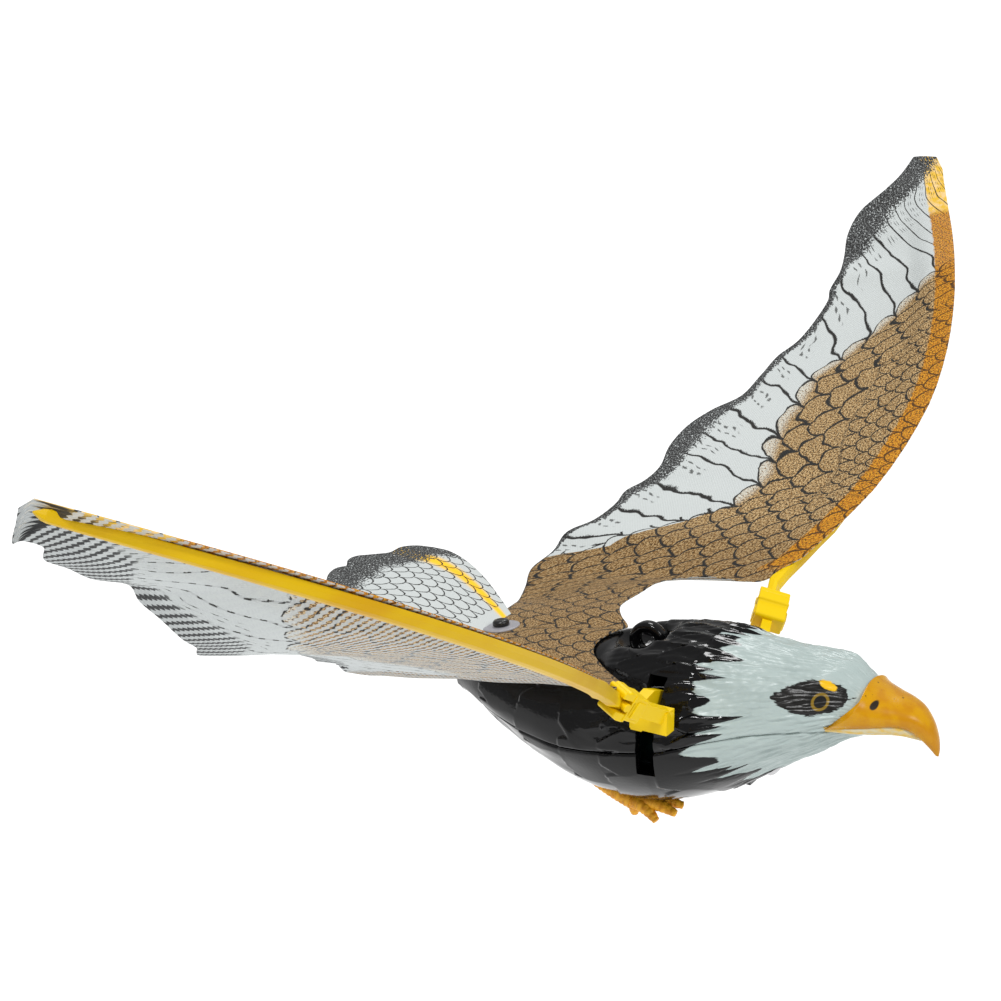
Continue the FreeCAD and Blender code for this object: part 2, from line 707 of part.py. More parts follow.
def make_cells():
    front = dim("cell_front")
    for side in (1, -1):
        y, z = side * dim("cell_side"), dim("cell_height")
        can = cylinder(f"cell_can_{side_word(side)}", "dims.cell_radius", "dims.cell_length",
                       along_x(front - dim("cell_length"), y, z))
        tip_x = front if side > 0 else front - dim("cell_length") - 0.8
        tip = cylinder(f"cell_tip_{side_word(side)}", "1.9", "0.8", along_x(tip_x, y, z))
        keep(fuse(f"cell_solid_{side_word(side)}", [can, tip]), f"cell_{side_word(side)}")
    plate_x = front + 0.85
    keep(box("front_contact_plate", ("0.4", "19", "7"), Vector(plate_x, -9.5, dim("cell_height") - 3.5)),
         "battery_contact_front")
    rear_x = front - dim("cell_length") - 0.85 - 0.4
    keep(box("rear_contact_plate", ("0.4", "16", "6"), Vector(rear_x, -8, dim("cell_height") - 3)),
         "battery_contact_rear")


def make_switch():
    x = dim("switch_x")
    base = belly_height(x, 0) + 4.8
    case = box("switch_case", ("7", "11", "4"), Vector(x - 3.5, -5.5, base))
    groove = box("switch_groove", ("3.4", "8.2", "1.6"), Vector(x - 1.7, -4.1, base))
    keep(cut("switch_cut", case, groove), "switch_body")
    corner = Vector(x - 1.3, -1.6 - 0.5 * dim("switch_travel"), base - 5.4)
    keep(box("slider_knob", ("2.6", "3.2", "6.6"), corner), "switch_slider")


def check_objects():
    for obj in doc.Objects:
        bad = [state for state in obj.State if state in ("Invalid", "Error")]
        if bad:
            raise RuntimeError(f"{obj.Label} is {bad}")
    for obj in nodes:
        if obj.Shape.isNull() or not obj.Shape.isValid():
            raise RuntimeError(f"{obj.Label} has no valid shape")


def main():
    fill_sheet()
    cover = make_shells()
    make_cover(cover)
    make_shell_screws()
    make_gears()
    make_shafts()
    make_plates()
    make_motor()
    make_yoke()
    for side in (1, -1):
        make_leg(side)
        make_arm(side)
        make_clip(side)
        make_spar(side)
        make_wing_film(side)
    make_centre_film()
    make_tail_film()
    make_peg()
    make_cells()
    make_switch()
    doc.recompute()
    check_objects()
    os.makedirs("parts", exist_ok=True)
    for obj in nodes:
        obj.Shape.exportStep(os.path.join("parts", obj.Label + ".step"))
        solids = len(obj.Shape.Solids)
        print(f"{obj.Label}: {solids} solid(s), {obj.Shape.Volume:.1f} mm3")


main()
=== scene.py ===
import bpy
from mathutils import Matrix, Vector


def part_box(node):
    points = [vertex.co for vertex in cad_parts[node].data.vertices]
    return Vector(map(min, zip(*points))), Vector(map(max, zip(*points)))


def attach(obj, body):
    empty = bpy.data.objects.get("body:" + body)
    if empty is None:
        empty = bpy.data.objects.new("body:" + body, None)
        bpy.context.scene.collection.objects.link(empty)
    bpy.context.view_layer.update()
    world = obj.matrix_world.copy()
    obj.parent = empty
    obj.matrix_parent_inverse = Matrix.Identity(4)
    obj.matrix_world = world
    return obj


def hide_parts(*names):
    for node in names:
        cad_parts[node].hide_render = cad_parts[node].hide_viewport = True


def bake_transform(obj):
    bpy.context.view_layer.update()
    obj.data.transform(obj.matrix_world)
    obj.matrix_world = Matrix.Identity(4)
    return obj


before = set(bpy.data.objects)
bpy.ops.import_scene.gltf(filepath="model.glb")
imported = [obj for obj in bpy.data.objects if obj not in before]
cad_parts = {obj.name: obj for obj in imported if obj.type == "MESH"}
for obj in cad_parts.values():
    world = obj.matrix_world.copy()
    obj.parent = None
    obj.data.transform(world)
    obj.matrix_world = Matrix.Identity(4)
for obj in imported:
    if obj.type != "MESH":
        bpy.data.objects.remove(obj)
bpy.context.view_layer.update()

# Looks of the motion wing decoy: a hanging eagle with printed film wings on sprung spars.
# Shapes are worked out in millimetres in the part's frame (+X beak, +Y left wing, +Z up).
import math

import bpy
import numpy as np
from mathutils import Vector, noise

MM = 0.001
SIDES = {"left": 1, "right": -1.0}


# ---- shader helpers


def srgb(red, green, blue):
    """A display colour, 0 to 255, as the linear colour that a shader takes."""
    parts = [c / 255 for c in (red, green, blue)]
    return [c / 12.92 if c < 0.04045 else ((c + 0.055) / 1.055) ** 2.4 for c in parts] + [1.0]


def plug(tree, slot, value):
    if isinstance(value, Value):
        tree.links.new(value.socket, slot)
    else:
        slot.default_value = value


def add_node(tree, kind, inputs):
    """A shader node with inputs set or linked, each named or counted from 0."""
    node = tree.nodes.new("ShaderNode" + kind)
    for slot, value in inputs.items():
        plug(tree, node.inputs[slot], value)
    return node


class Value:
    """A number in a shader tree, with arithmetic."""

    def __init__(self, tree, socket):
        self.tree = tree
        self.socket = socket

    def math(self, operation, *others):
        node = add_node(self.tree, "Math", dict(enumerate((self, *others))))
        node.operation = operation
        return Value(self.tree, node.outputs[0])

    def __add__(self, other):
        return self.math("ADD", other)

    def __sub__(self, other):
        return self.math("SUBTRACT", other)

    def __mul__(self, other):
        return self.math("MULTIPLY", other)

    def __truediv__(self, other):
        return self.math("DIVIDE", other)

    def most(self, other):
        return self.math("MAXIMUM", other)

    def size(self):
        return self.math("ABSOLUTE")

    def root(self):
        return self.math("SQRT")

    def sine(self):
        return self.math("SINE")

    def fraction(self):
        return self.math("FRACT")

    def step(self, low, high):
        """0 below low, 1 above high, smooth between; falls when high is below low."""
        node = add_node(self.tree, "MapRange", {
            "Value": self, "From Min": min(low, high), "From Max": max(low, high),
            "To Min": float(low > high), "To Max": float(low < high)})
        node.interpolation_type = "SMOOTHSTEP"
        return Value(self.tree, node.outputs["Result"])


class Paint:
    """A material with one Principled shader, and short calls for the nodes that feed it."""

    def __init__(self, name, colour, roughness, **constants):
        self.material = bpy.data.materials.new(name)
        self.material.use_nodes = True
        self.tree = self.material.node_tree
        self.shader = self.tree.nodes["Principled BSDF"]
        plug(self.tree, self.shader.inputs["Base Color"], colour)
        plug(self.tree, self.shader.inputs["Roughness"], roughness)
        for socket, value in constants.items():
            plug(self.tree, self.shader.inputs[socket.replace("_", " ")], value)

    def attribute(self, name):
        node = add_node(self.tree, "Attribute", {})
        node.attribute_name = name
        return Value(self.tree, node.outputs["Fac"])

    def place(self):
        """The three coordinates of the piece, in millimetres."""
        node = add_node(self.tree, "TexCoord", {})
        parts = add_node(self.tree, "SeparateXYZ", {0: Value(self.tree, node.outputs["Object"])})
        return [Value(self.tree, socket) / MM for socket in parts.outputs]

    def vector(self, x, y, z=0.0):
        return Value(self.tree, add_node(self.tree, "CombineXYZ", {0: x, 1: y, 2: z}).outputs[0])

    def noise(self, vector, scale, detail):
        inputs = {"Vector": vector, "Scale": scale, "Detail": detail}
        return Value(self.tree, add_node(self.tree, "TexNoise", inputs).outputs[0])

    def cloud(self, scale, detail=3.0, stretch=(1.0, 1.0, 1.0)):
        """Noise over the piece, finer along an axis with a larger stretch."""
        place = [axis * factor for axis, factor in zip(self.place(), stretch)]
        return self.noise(self.vector(*place), scale, detail)

    def mix(self, share, first, second):
        node = self.tree.nodes.new("ShaderNodeMix")
        node.data_type = "RGBA"
        plug(self.tree, node.inputs[0], share)
        plug(self.tree, node.inputs[6], first)
        plug(self.tree, node.inputs[7], second)
        return Value(self.tree, node.outputs[2])

    def finish(self, colour, roughness=None, height=None, depth=0.0):
        """Feeds the shader; height is a number from 0 to 1 and depth is in millimetres."""
        plug(self.tree, self.shader.inputs["Base Color"], colour)
        if height is not None:
            plug(self.tree, self.shader.inputs["Roughness"], roughness)
            bump = add_node(self.tree, "Bump", {"Height": height, "Distance": depth * MM})
            self.tree.links.new(bump.outputs["Normal"], self.shader.inputs["Normal"])
        return self.material


# ---- materials


def moulded(name, tint, roughness, **constants):
    """Moulded plastic: faint flow marks in its colour, and a fine grain."""
    paint = Paint(name, tint, roughness, **constants)
    flow, fine = paint.cloud(0.22), paint.cloud(3.0, 2.0)
    darker = [c * 0.82 for c in tint[:3]] + [1.0]
    colour = paint.mix(flow.step(0.3, 0.7), tint, darker)
    return paint.finish(colour, fine * 0.12 + (roughness - 0.06), fine, 0.02)


def metal(name, tint, roughness):
    """Drawn or turned metal with fine marks along it."""
    paint = Paint(name, tint, roughness, Metallic=1.0)
    lines = paint.cloud(1.0, 3.0, (0.3, 6.0, 6.0))
    darker = [c * 0.75 for c in tint[:3]] + [1.0]
    return paint.finish(paint.mix(lines, tint, darker), lines * 0.2 + (roughness - 0.1), lines, 0.01)


def cloudy(name, base, roughness, noise_settings, bounds, shades, sheen, depth, **constants):
    """Two shades that drift into each other; sheen is how roughness grows with the second shade."""
    paint = Paint(name, base, roughness, **constants)
    cloud = paint.cloud(*noise_settings)
    colour = paint.mix(cloud.step(*bounds) if bounds else cloud, *shades)
    return paint.finish(colour, cloud * sheen[0] + sheen[1], cloud, depth)


def fish_scales(q, v):
    """Distance from the outline of the nearest scale of a pattern of rounded scales.

    q counts scales along a row and v counts rows; the scales' round ends point to
    higher v. Below zero is inside a scale's disc.
    """
    shift = v.math("FLOOR").math("FLOORED_MODULO", 2.0) * 0.5
    across = ((q + shift).fraction() - 0.5) * 2.0
    along = v.fraction()
    return (across * across + along * along).root() - 1.0


TICK_PITCH = 2.6


def film_paint(name, tail):
    """Printed woven film: scales, feathers and a speckled dark border."""
    paint = Paint(name, srgb(206, 212, 212), 0.72, Specular_IOR_Level=0.25)
    span, chord = paint.attribute("span_mm"), paint.attribute("chord_mm")
    edge, under = paint.attribute("edge_mm"), paint.attribute("under")
    q, v = paint.attribute("scale_q"), paint.attribute("scale_v")
    flat = paint.vector(span, chord)
    fine = paint.noise(flat, 2.6, 1.0)
    wobble = paint.noise(flat, 0.55, 2.0) - 0.5
    ragged = paint.noise(flat, 3.2, 1.0) - 0.5
    meander = paint.noise(flat, 0.16, 1.0) - 0.5
    sway = paint.noise(paint.vector(chord, span), 0.2, 1.0) - 0.5
    q2 = q + meander * 0.45 + ragged * 0.05
    v2 = v + sway * 0.5
    white_rows = paint.attribute("white_rows") + sway * 0.5
    scale = fish_scales(q2, v2)
    outline = (scale.size() + ragged * 0.12).step(0.10, 0.045)
    first_row = scale.step(0.02, -0.02) * v2.step(1.0, 0.98) * white_rows.step(1.1, 1.0)
    printed = white_rows.step(0.02, -0.02).most(first_row)
    speck = fine.step(0.44, 0.56)
    white = srgb(192, 197, 196)
    ink = srgb(34, 33, 31)
    if tail:
        plume = paint.mix(paint.attribute("gold"), white, srgb(246, 196, 30))
        colour = paint.mix(outline * chord.step(6.4, 7.0), plume, ink)
    else:
        tan = paint.mix(speck, srgb(126, 92, 46), srgb(196, 168, 122))
        peppered = paint.noise(flat, 2.3, 1.0).step(0.45, 0.40)
        tan = paint.mix(peppered, tan, srgb(58, 44, 28))
        tan = paint.mix(white_rows.step(-0.1, 0.7) * fine.step(0.35, 0.5) * 0.8, tan, srgb(208, 208, 198))
        tan = paint.mix(span.size().step(62.0, 44.0) * 0.35, tan, srgb(96, 66, 24))
        colour = paint.mix(printed, white, tan)
        rib = (((q2 + 0.5).fraction() - 0.5).size() + ragged * 0.06).step(0.062, 0.03)
        rib = rib * white_rows.step(0.0, 0.15)
        scaled = outline * white_rows.step(1.05, 1.0)
        across = q2.fraction()
        dash = ((edge + across * 9.0 + ragged) * (2 * math.pi / TICK_PITCH)).sine().step(-0.25, 0.15)
        strand = ((across - 0.5) * 30.0 + edge * 0.25).math("COSINE").step(0.5, 0.8)
        middle = (across - 0.55).size().step(0.26, 0.2)
        near_border = (edge - paint.attribute("border_mm") - 2.0).size().step(5.5, 4.0)
        ticks = dash * strand * middle * near_border * white_rows.step(0.9, 1.2)
        colour = paint.mix(rib.most(scaled).most(ticks * 0.8), colour, ink)
        band = (chord + wobble * 1.2).step(5.8, 5.2) * span.step(40.0, 42.5)
        rich = paint.mix(speck, srgb(168, 100, 4), srgb(208, 146, 20))
        rich = paint.mix(peppered, rich, srgb(96, 62, 8))
        orange = paint.mix(scaled, rich, srgb(80, 50, 10))
        tip_gold = paint.mix(wobble.step(-0.1, 0.15), srgb(224, 178, 20), srgb(232, 196, 130))
        tip_gold = paint.mix(ticks.most(rib), tip_gold, ink)
        orange = paint.mix(span.step(160.0, 163.0), orange, tip_gold)
        colour = paint.mix(band * 0.95, colour, orange)
    share = ((edge + wobble * 2.2) / paint.attribute("border_mm")).step(1.35, 0.5)
    grit = (paint.noise(flat, 2.1, 1.0) + 0.52 - share * 0.66).step(0.56, 0.47)
    grey = paint.mix(paint.noise(flat, 2.9, 0.0).step(0.5, 0.62), srgb(36, 36, 36), srgb(104, 106, 106))
    colour = paint.mix(grit * share.step(0.02, 0.12), colour, grey)
    rows = (span * 3.4).sine() + (chord * 5.4 + span * 0.4).sine() * 0.55
    dots = (rows + ragged * 1.4).step(-0.1, 0.5)
    pale = paint.mix(ragged.step(-0.2, 0.3), srgb(184, 189, 189), srgb(198, 202, 202))
    behind = paint.mix(dots * 0.85 + 0.15, pale, colour)
    behind = paint.mix(dots * share.step(0.0, 0.25) * 0.95, behind, srgb(44, 45, 46))
    colour = paint.mix(under.step(0.4, 0.6), colour, behind)
    weave = (span * 9.0).sine() * (chord * 9.0).sine() * 0.5 + 0.5
    return paint.finish(colour, fine * 0.15 + 0.62, weave, 0.06)


def shell_paint():
    """Glossy black body with a pale painted head, and the eyes painted on."""
    paint = Paint("shell_paint", srgb(10, 10, 11), 0.1, Specular_IOR_Level=0.3)
    x, _, z = paint.place()
    fine = paint.cloud(1.6)
    pale = paint.attribute("pale_mm")
    eye_u, eye_v = x - EYE[0], z - EYE[1]
    ragged = paint.cloud(0.9, 2.0, (0.7, 0.7, 2.8)) - 0.5
    strands = paint.cloud(0.35, 3.0, (0.25, 1.0, 1.0))
    white = paint.mix(strands, srgb(154, 168, 166), srgb(172, 185, 182))
    edge = (pale + ragged * 1.6).step(-0.25, 0.35)
    black = paint.mix(fine, srgb(4, 4, 5), srgb(11, 11, 12))
    colour = paint.mix(edge, black, white)
    on_head = pale.step(8.0, 10.0)
    rise = eye_v - eye_u * 0.06 - 0.6
    taper = (eye_u + 10.4).most(0.0).root() * (eye_u * -1.0 + 5.0).most(0.0).root()
    patch = (taper * 0.44 - rise.size() - eye_u.step(-2.0, -9.0) * 1.2 + ragged * 1.6).step(-0.1, 0.2)
    gold_u, gold_v = (eye_u - 0.8) * 0.4, eye_v - 3.3 + eye_u * 0.35
    gold = ((gold_u * gold_u + gold_v * gold_v).root() + ragged * 0.5).step(0.85, 0.65)
    colour = paint.mix(patch * on_head, colour, srgb(20, 19, 17))
    colour = paint.mix(gold * on_head, colour, srgb(226, 178, 20))
    ring = (eye_u * eye_u + eye_v * eye_v).root()
    iris = ring.step(1.1, 1.25) * ring.step(1.8, 1.6) * on_head
    colour = paint.mix(iris * 0.75, colour, srgb(140, 112, 28))
    return paint.finish(colour, edge * 0.2 + (fine * 0.06 + 0.08), fine, 0.03)


def beak_paint():
    """Ochre paint with small worn spots and the nostrils."""
    paint = Paint("beak_paint", srgb(224, 160, 6), 0.28, Specular_IOR_Level=0.25)
    x, y, z = paint.place()
    cloud = paint.cloud(0.3)
    colour = paint.mix(cloud.step(0.35, 0.65), srgb(196, 142, 0), srgb(184, 124, 0))
    worn = paint.cloud(0.9, 2.0).step(0.70, 0.74)
    colour = paint.mix(worn * 0.8, colour, srgb(90, 60, 20))
    hole_x, hole_z = x - NOSTRIL[0], z - NOSTRIL[1]
    hole = (hole_x * hole_x + hole_z * hole_z).root().step(0.85, 0.6)
    colour = paint.mix(hole * y.size().step(2.0, 3.0), colour, srgb(40, 34, 26))
    return paint.finish(colour, cloud * 0.12 + 0.22, cloud, 0.05)


def spar_paint():
    """Yellow nylon, paler at the clips and warmer in patches along the spars."""
    paint = Paint("yellow_nylon", srgb(250, 206, 14), 0.42, Specular_IOR_Level=0.2)
    cloud = paint.cloud(0.12, 2.0, (1.0, 0.2, 1.0))
    colour = paint.mix(cloud.step(0.35, 0.7), srgb(208, 170, 0), srgb(198, 150, 0))
    colour = paint.mix(paint.place()[1].size().step(47.0, 40.0), colour, srgb(228, 192, 0))
    return paint.finish(colour, cloud * 0.2 + 0.32, cloud, 0.08)


# Middles of the eyes and nostrils, as x and z.
EYE = (44.4, -1)
NOSTRIL = (54.6, -0.9)

YELLOW = spar_paint()
SHELL = shell_paint()
BEAK = beak_paint()
LOWER_BEAK = cloudy("lower_beak_paint", srgb(220, 200, 120), 0.4, (0.8, 3.0, (0.5, 1.0, 1.5)), (0.35, 0.7),
                    (srgb(208, 170, 60), srgb(196, 188, 156)), (0.2, 0.3), 0.05)
WING_FILM = film_paint("wing_film_print", tail=False)
TAIL_FILM = film_paint("tail_film_print", tail=True)
VINYL = cloudy("leg_vinyl", srgb(200, 134, 24), 0.5, (0.8,), (0.35, 0.65),
               (srgb(232, 168, 34), srgb(200, 132, 14)), (0.2, 0.4), 0.08, Specular_IOR_Level=0.3)
WASHER = cloudy("washer_plastic", srgb(176, 176, 184), 0.3, (1.4,), None,
                (srgb(168, 166, 174), srgb(206, 206, 212)), (0.3, 0.2), 0.03, Transmission_Weight=0.45, IOR=1.4)
BLACK = moulded("black_plastic", srgb(18, 18, 19), 0.3)
NYLON = moulded("gear_nylon", srgb(236, 234, 224), 0.45)
FRAME_PLASTIC = moulded("frame_plastic", srgb(52, 54, 58), 0.5)
WRAP = moulded("cell_wrap", srgb(34, 62, 70), 0.3, Metallic=0.4)
STEEL = metal("steel", [0.62, 0.62, 0.63, 1.0], 0.3)
NICKEL = metal("nickel", [0.70, 0.68, 0.62, 1.0], 0.28)


# ---- mesh helpers


def make_piece(name, points, faces, material, smooth=True):
    mesh = bpy.data.meshes.new(name)
    mesh.from_pydata([tuple(float(c) * MM for c in p) for p in points], [], faces)
    mesh.polygons.foreach_set("use_smooth", [smooth] * len(mesh.polygons))
    mesh.materials.append(material)
    mesh.update()
    piece = bpy.data.objects.new(name, mesh)
    bpy.context.scene.collection.objects.link(piece)
    return piece


def set_values(piece, name, values):
    layer = piece.data.attributes.new(name, "FLOAT", "POINT")
    layer.data.foreach_set("value", np.asarray(values, np.float32).ravel())


def quads(rows, columns, first=0):
    """Faces of a grid of points, row by row."""
    cells = []
    for r in range(rows - 1):
        for c in range(columns - 1):
            a = first + r * columns + c
            cells.append((a, a + 1, a + columns + 1, a + columns))
    return cells


def closed_grid(outer, inner):
    """Points and faces of the closed solid between two grids of the same shape."""
    rows, columns = outer.shape[:2]
    count = rows * columns
    points = np.concatenate([outer.reshape(-1, 3), inner.reshape(-1, 3)])
    faces = quads(rows, columns) + [f[::-1] for f in quads(rows, columns, count)]
    rim = list(range(columns))
    rim += [r * columns + columns - 1 for r in range(1, rows)]
    rim += [(rows - 1) * columns + c for c in range(columns - 2, -1, -1)]
    rim += [r * columns for r in range(rows - 2, 0, -1)]
    for a, b in zip(rim, rim[1:] + rim[:1]):
        faces.append((b, a, a + count, b + count))
    return points, faces


def tube_faces(rings, size):
    """Faces that join rings of the same size and close both ends."""
    faces = []
    for r in range(rings - 1):
        for i in range(size):
            a, b = r * size + i, r * size + (i + 1) % size
            faces.append((a, b, b + size, a + size))
    faces.append(tuple(reversed(range(size))))
    faces.append(tuple(range((rings - 1) * size, rings * size)))
    return faces


def normals_of(grid):
    """Unit normals of a grid of points, outwards for rows towards +X, columns left to right."""
    across = np.gradient(grid, axis=1)
    along = np.gradient(grid, axis=0)
    n = np.cross(along, across)
    return n / np.maximum(np.linalg.norm(n, axis=2, keepdims=True), 1e-9)


def unit(vector):
    return vector / np.linalg.norm(vector)


def curve_through(knots, t):
    """Smooth curve through equally spaced knots, t from 0 to 1."""
    knots = np.asarray(knots, float)
    count = len(knots)
    padded = np.vstack([2 * knots[0] - knots[1], knots, 2 * knots[-1] - knots[-2]])
    place = np.clip(np.asarray(t, float), 0, 1) * (count - 1)
    i = np.minimum(place.astype(int), count - 2)
    f = (place - i)[..., None]
    a, b, c, d = (padded[i + k] for k in range(4))
    return 0.5 * (2 * b + (c - a) * f + (2 * a - 5 * b + 4 * c - d) * f ** 2
                  + (3 * b - a - 3 * c + d) * f ** 3)


def level(table, x):
    """Smooth value at x of a table of (place, value, ...) rows, as columns."""
    table = np.asarray(table, float)
    places = table[:, 0]
    i = np.clip(np.searchsorted(places, x) - 1, 0, len(places) - 2)
    f = np.clip((x - places[i]) / (places[i + 1] - places[i]), 0, 1)
    return curve_through(table[:, 1:], (i + f) / (len(places) - 1))


def grain(x, y, z, size):
    """Smooth noise from -1 to 1 over arrays of points."""
    shape = np.broadcast(x, y, z).shape
    points = np.stack([np.broadcast_to(a, shape) / size for a in (x, y, z)], -1).reshape(-1, 3)
    return np.array([noise.noise(Vector(p)) for p in points]).reshape(shape)


def ramp(value, low, high):
    t = np.clip((value - low) / (high - low), 0, 1)
    return t * t * (3 - 2 * t)


def bevelled(piece, width, segments):
    modifier = piece.modifiers.new("edges", "BEVEL")
    modifier.width = width * MM
    modifier.segments = segments
    modifier.limit_method = "ANGLE"
    modifier.angle_limit = math.radians(35)


def extruded(name, outline, thickness, origin, axes, material, lift=0.0):
    """A flat outline in the first two axes, thickened along the third about its middle."""
    u, v, w = axes
    low, high = lift - 0.5 * thickness, lift + 0.5 * thickness
    points = [origin + u * a + v * b + w * c for c in (low, high) for a, b in outline]
    return make_piece(name, points, tube_faces(2, len(outline)), material, smooth=False)


def table(rows, y):
    """Straight-line value at y of a table of (place, value) rows."""
    rows = np.asarray(rows, float)
    return np.interp(y, rows[:, 0], rows[:, 1])


def rectangle(low, high, half):
    return [(low, -half), (high, -half), (high, half), (low, half)]


# ---- body shells

# Body stations from tail to beak: x, top, bottom and half width.
STATIONS = [
    (-50.4, -17.2, -18.2, 0.5), (-49.2, -15.6, -19.6, 2.4), (-45.7, -10.4, -21.7, 7),
    (-37.7, -6.4, -25.6, 12), (-29.7, -4.4, -29.6, 15.5), (-21.7, -2.7, -33, 18.3),
    (-13.7, -1.2, -35.5, 20.3), (-5.7, 0.4, -36.3, 21.5), (2.3, 2, -35.2, 22),
    (10.3, 3.5, -33.1, 21.6), (18.3, 4.5, -30.2, 20), (26.3, 5, -26.2, 17.6),
    (34.3, 5.4, -20.8, 15), (42.3, 5.3, -15.8, 12.3), (48.3, 3.9, -11.4, 9.5),
    (51.8, 1.6, -9.6, 7.4), (53, -3, -5, 1.6),
]
# Height of the seam between the shells along the body.
SEAM = [
    (-56, -18), (-33, -19.9), (-13.7, -20.7), (1.3, -18.3), (12.3, -15.8),
    (23.3, -12.1), (35.3, -8.9), (44.3, -7.6), (56, -6.4),
]
# How far forward the black reaches, from the back round to the belly: angle and x.
BLACK_END = [(0, 21.5), (0.45, 22.5), (0.8, 19), (1.05, 20), (1.3, 25), (1.5, 24),
             (1.62, 20), (1.8, 21.5), (2.1, 26), (2.5, 30), (3.2, 31)]
# How far the belly lies inside the plain body outline, along the body.
BELLY_INSET = [(-50, 0), (-40, 1.2), (-30, 1.6), (-20, 1.8), (-10, 1.6), (0, 0.5), (10, -0.7),
               (25, -0.6), (38, 0)]
# Ellipsoid hollow around the lug: height of its middle, and its half axes.
SADDLE_CENTRE = 4.6
SADDLE = (8, 11.5, 7.6)
WALL = 1.5
SEAM_GAP = 0.006
# How far behind the white paint the faces inside and at the openings count as lying, in millimetres.
INSIDE = -20.0


def scale_relief(u, v, width, height, pointed=1.0):
    """Relief, 0 to 1, of rounded feathers that overlap towards -u, rows along v."""
    row = np.ceil(u / height)
    along = row * height - u
    shift = np.mod(row, 2) * 0.5
    across = (np.mod(v / width + shift, 1.0) - 0.5) * width
    reach = 1.02 * height + 0.25 * width
    distance = np.sqrt((along / reach) ** 2 + (np.abs(across) / (0.62 * width)) ** (2 * pointed))
    under = np.clip((along + height) / (2.2 * height), 0, 1)
    on_top = 0.35 + 0.65 * np.clip(distance, 0, 1) ** 2
    lip = ramp(distance, 1.0, 0.93)
    return lip * on_top + (1 - lip) * 0.35 * under


def feathers(x, angle):
    """How far the moulded relief stands proud of the body, in millimetres."""
    bend = grain(x, angle * 14.0, 0 * x, 9.0)
    round_about = angle * 17.0 + 1.6 * bend
    body = scale_relief(x + 3.0 * bend, round_about + 3.0 * bend, 13.0, 12.0) * 0.7
    neck = scale_relief(x + 2.4 * bend, round_about, 3.7, 8.5, 0.75) * 1.25
    neck = neck + 0.35 * np.abs(grain(x / 4.5, angle * 15.0, 0 * x, 1.1))
    head = 0.34 * grain(x / 6.0, angle * 15.0, 0 * x, 0.9) + 0.14 * grain(x / 3.0, angle * 15.0, 5 + 0 * x, 0.5)
    upper = ramp(np.abs(angle), 1.75, 1.45)
    to_neck = ramp(x, -8.0, 2.0) * upper
    to_head = ramp(x - black_end(angle), -5.0, 4.0)
    relief = body * (1 - to_neck) + neck * to_neck
    return relief * (1 - to_head) + head * to_head


def black_end(angle):
    """Ragged forward end of the black, as an x for each angle from the top."""
    base = level(BLACK_END, np.abs(angle))[..., 0]
    tooth = np.abs(np.mod(angle * 17.0 / 3.4 + 0.6 * np.sin(angle * 9.0), 1.0) - 0.5) * 2
    return base + 5.0 * (tooth - 0.45) + 2.5 * np.sin(angle * 23.0)


def body_grid(x, angle):
    """Points of the body's plain surface, with the valley for the lug."""
    top, bottom, half = np.moveaxis(level(STATIONS, x), -1, 0)
    centre, rise = 0.5 * (top + bottom), 0.5 * (top - bottom)
    y = half * np.sin(angle)
    z = centre + rise * np.cos(angle)
    inside = 1 - (x / SADDLE[0]) ** 2 - (y / SADDLE[1]) ** 2
    floor = SADDLE_CENTRE - SADDLE[2] * np.sqrt(np.maximum(inside, 0))
    floor = np.where(inside > 0, floor, 1e3)
    soft = 0.7
    dipped = -soft * np.logaddexp(-z / soft, -np.minimum(floor, 60) / soft)
    return np.stack([x, y, np.where(np.cos(angle) > 0, dipped, z)], -1)


def seam_angle(x):
    top, bottom, _ = np.moveaxis(level(STATIONS, x), -1, 0)
    height = level(SEAM, x)[..., 0]
    ratio = (height - 0.5 * (top + bottom)) / (0.5 * (top - bottom))
    return np.arccos(np.clip(ratio, -0.96, 0.96))


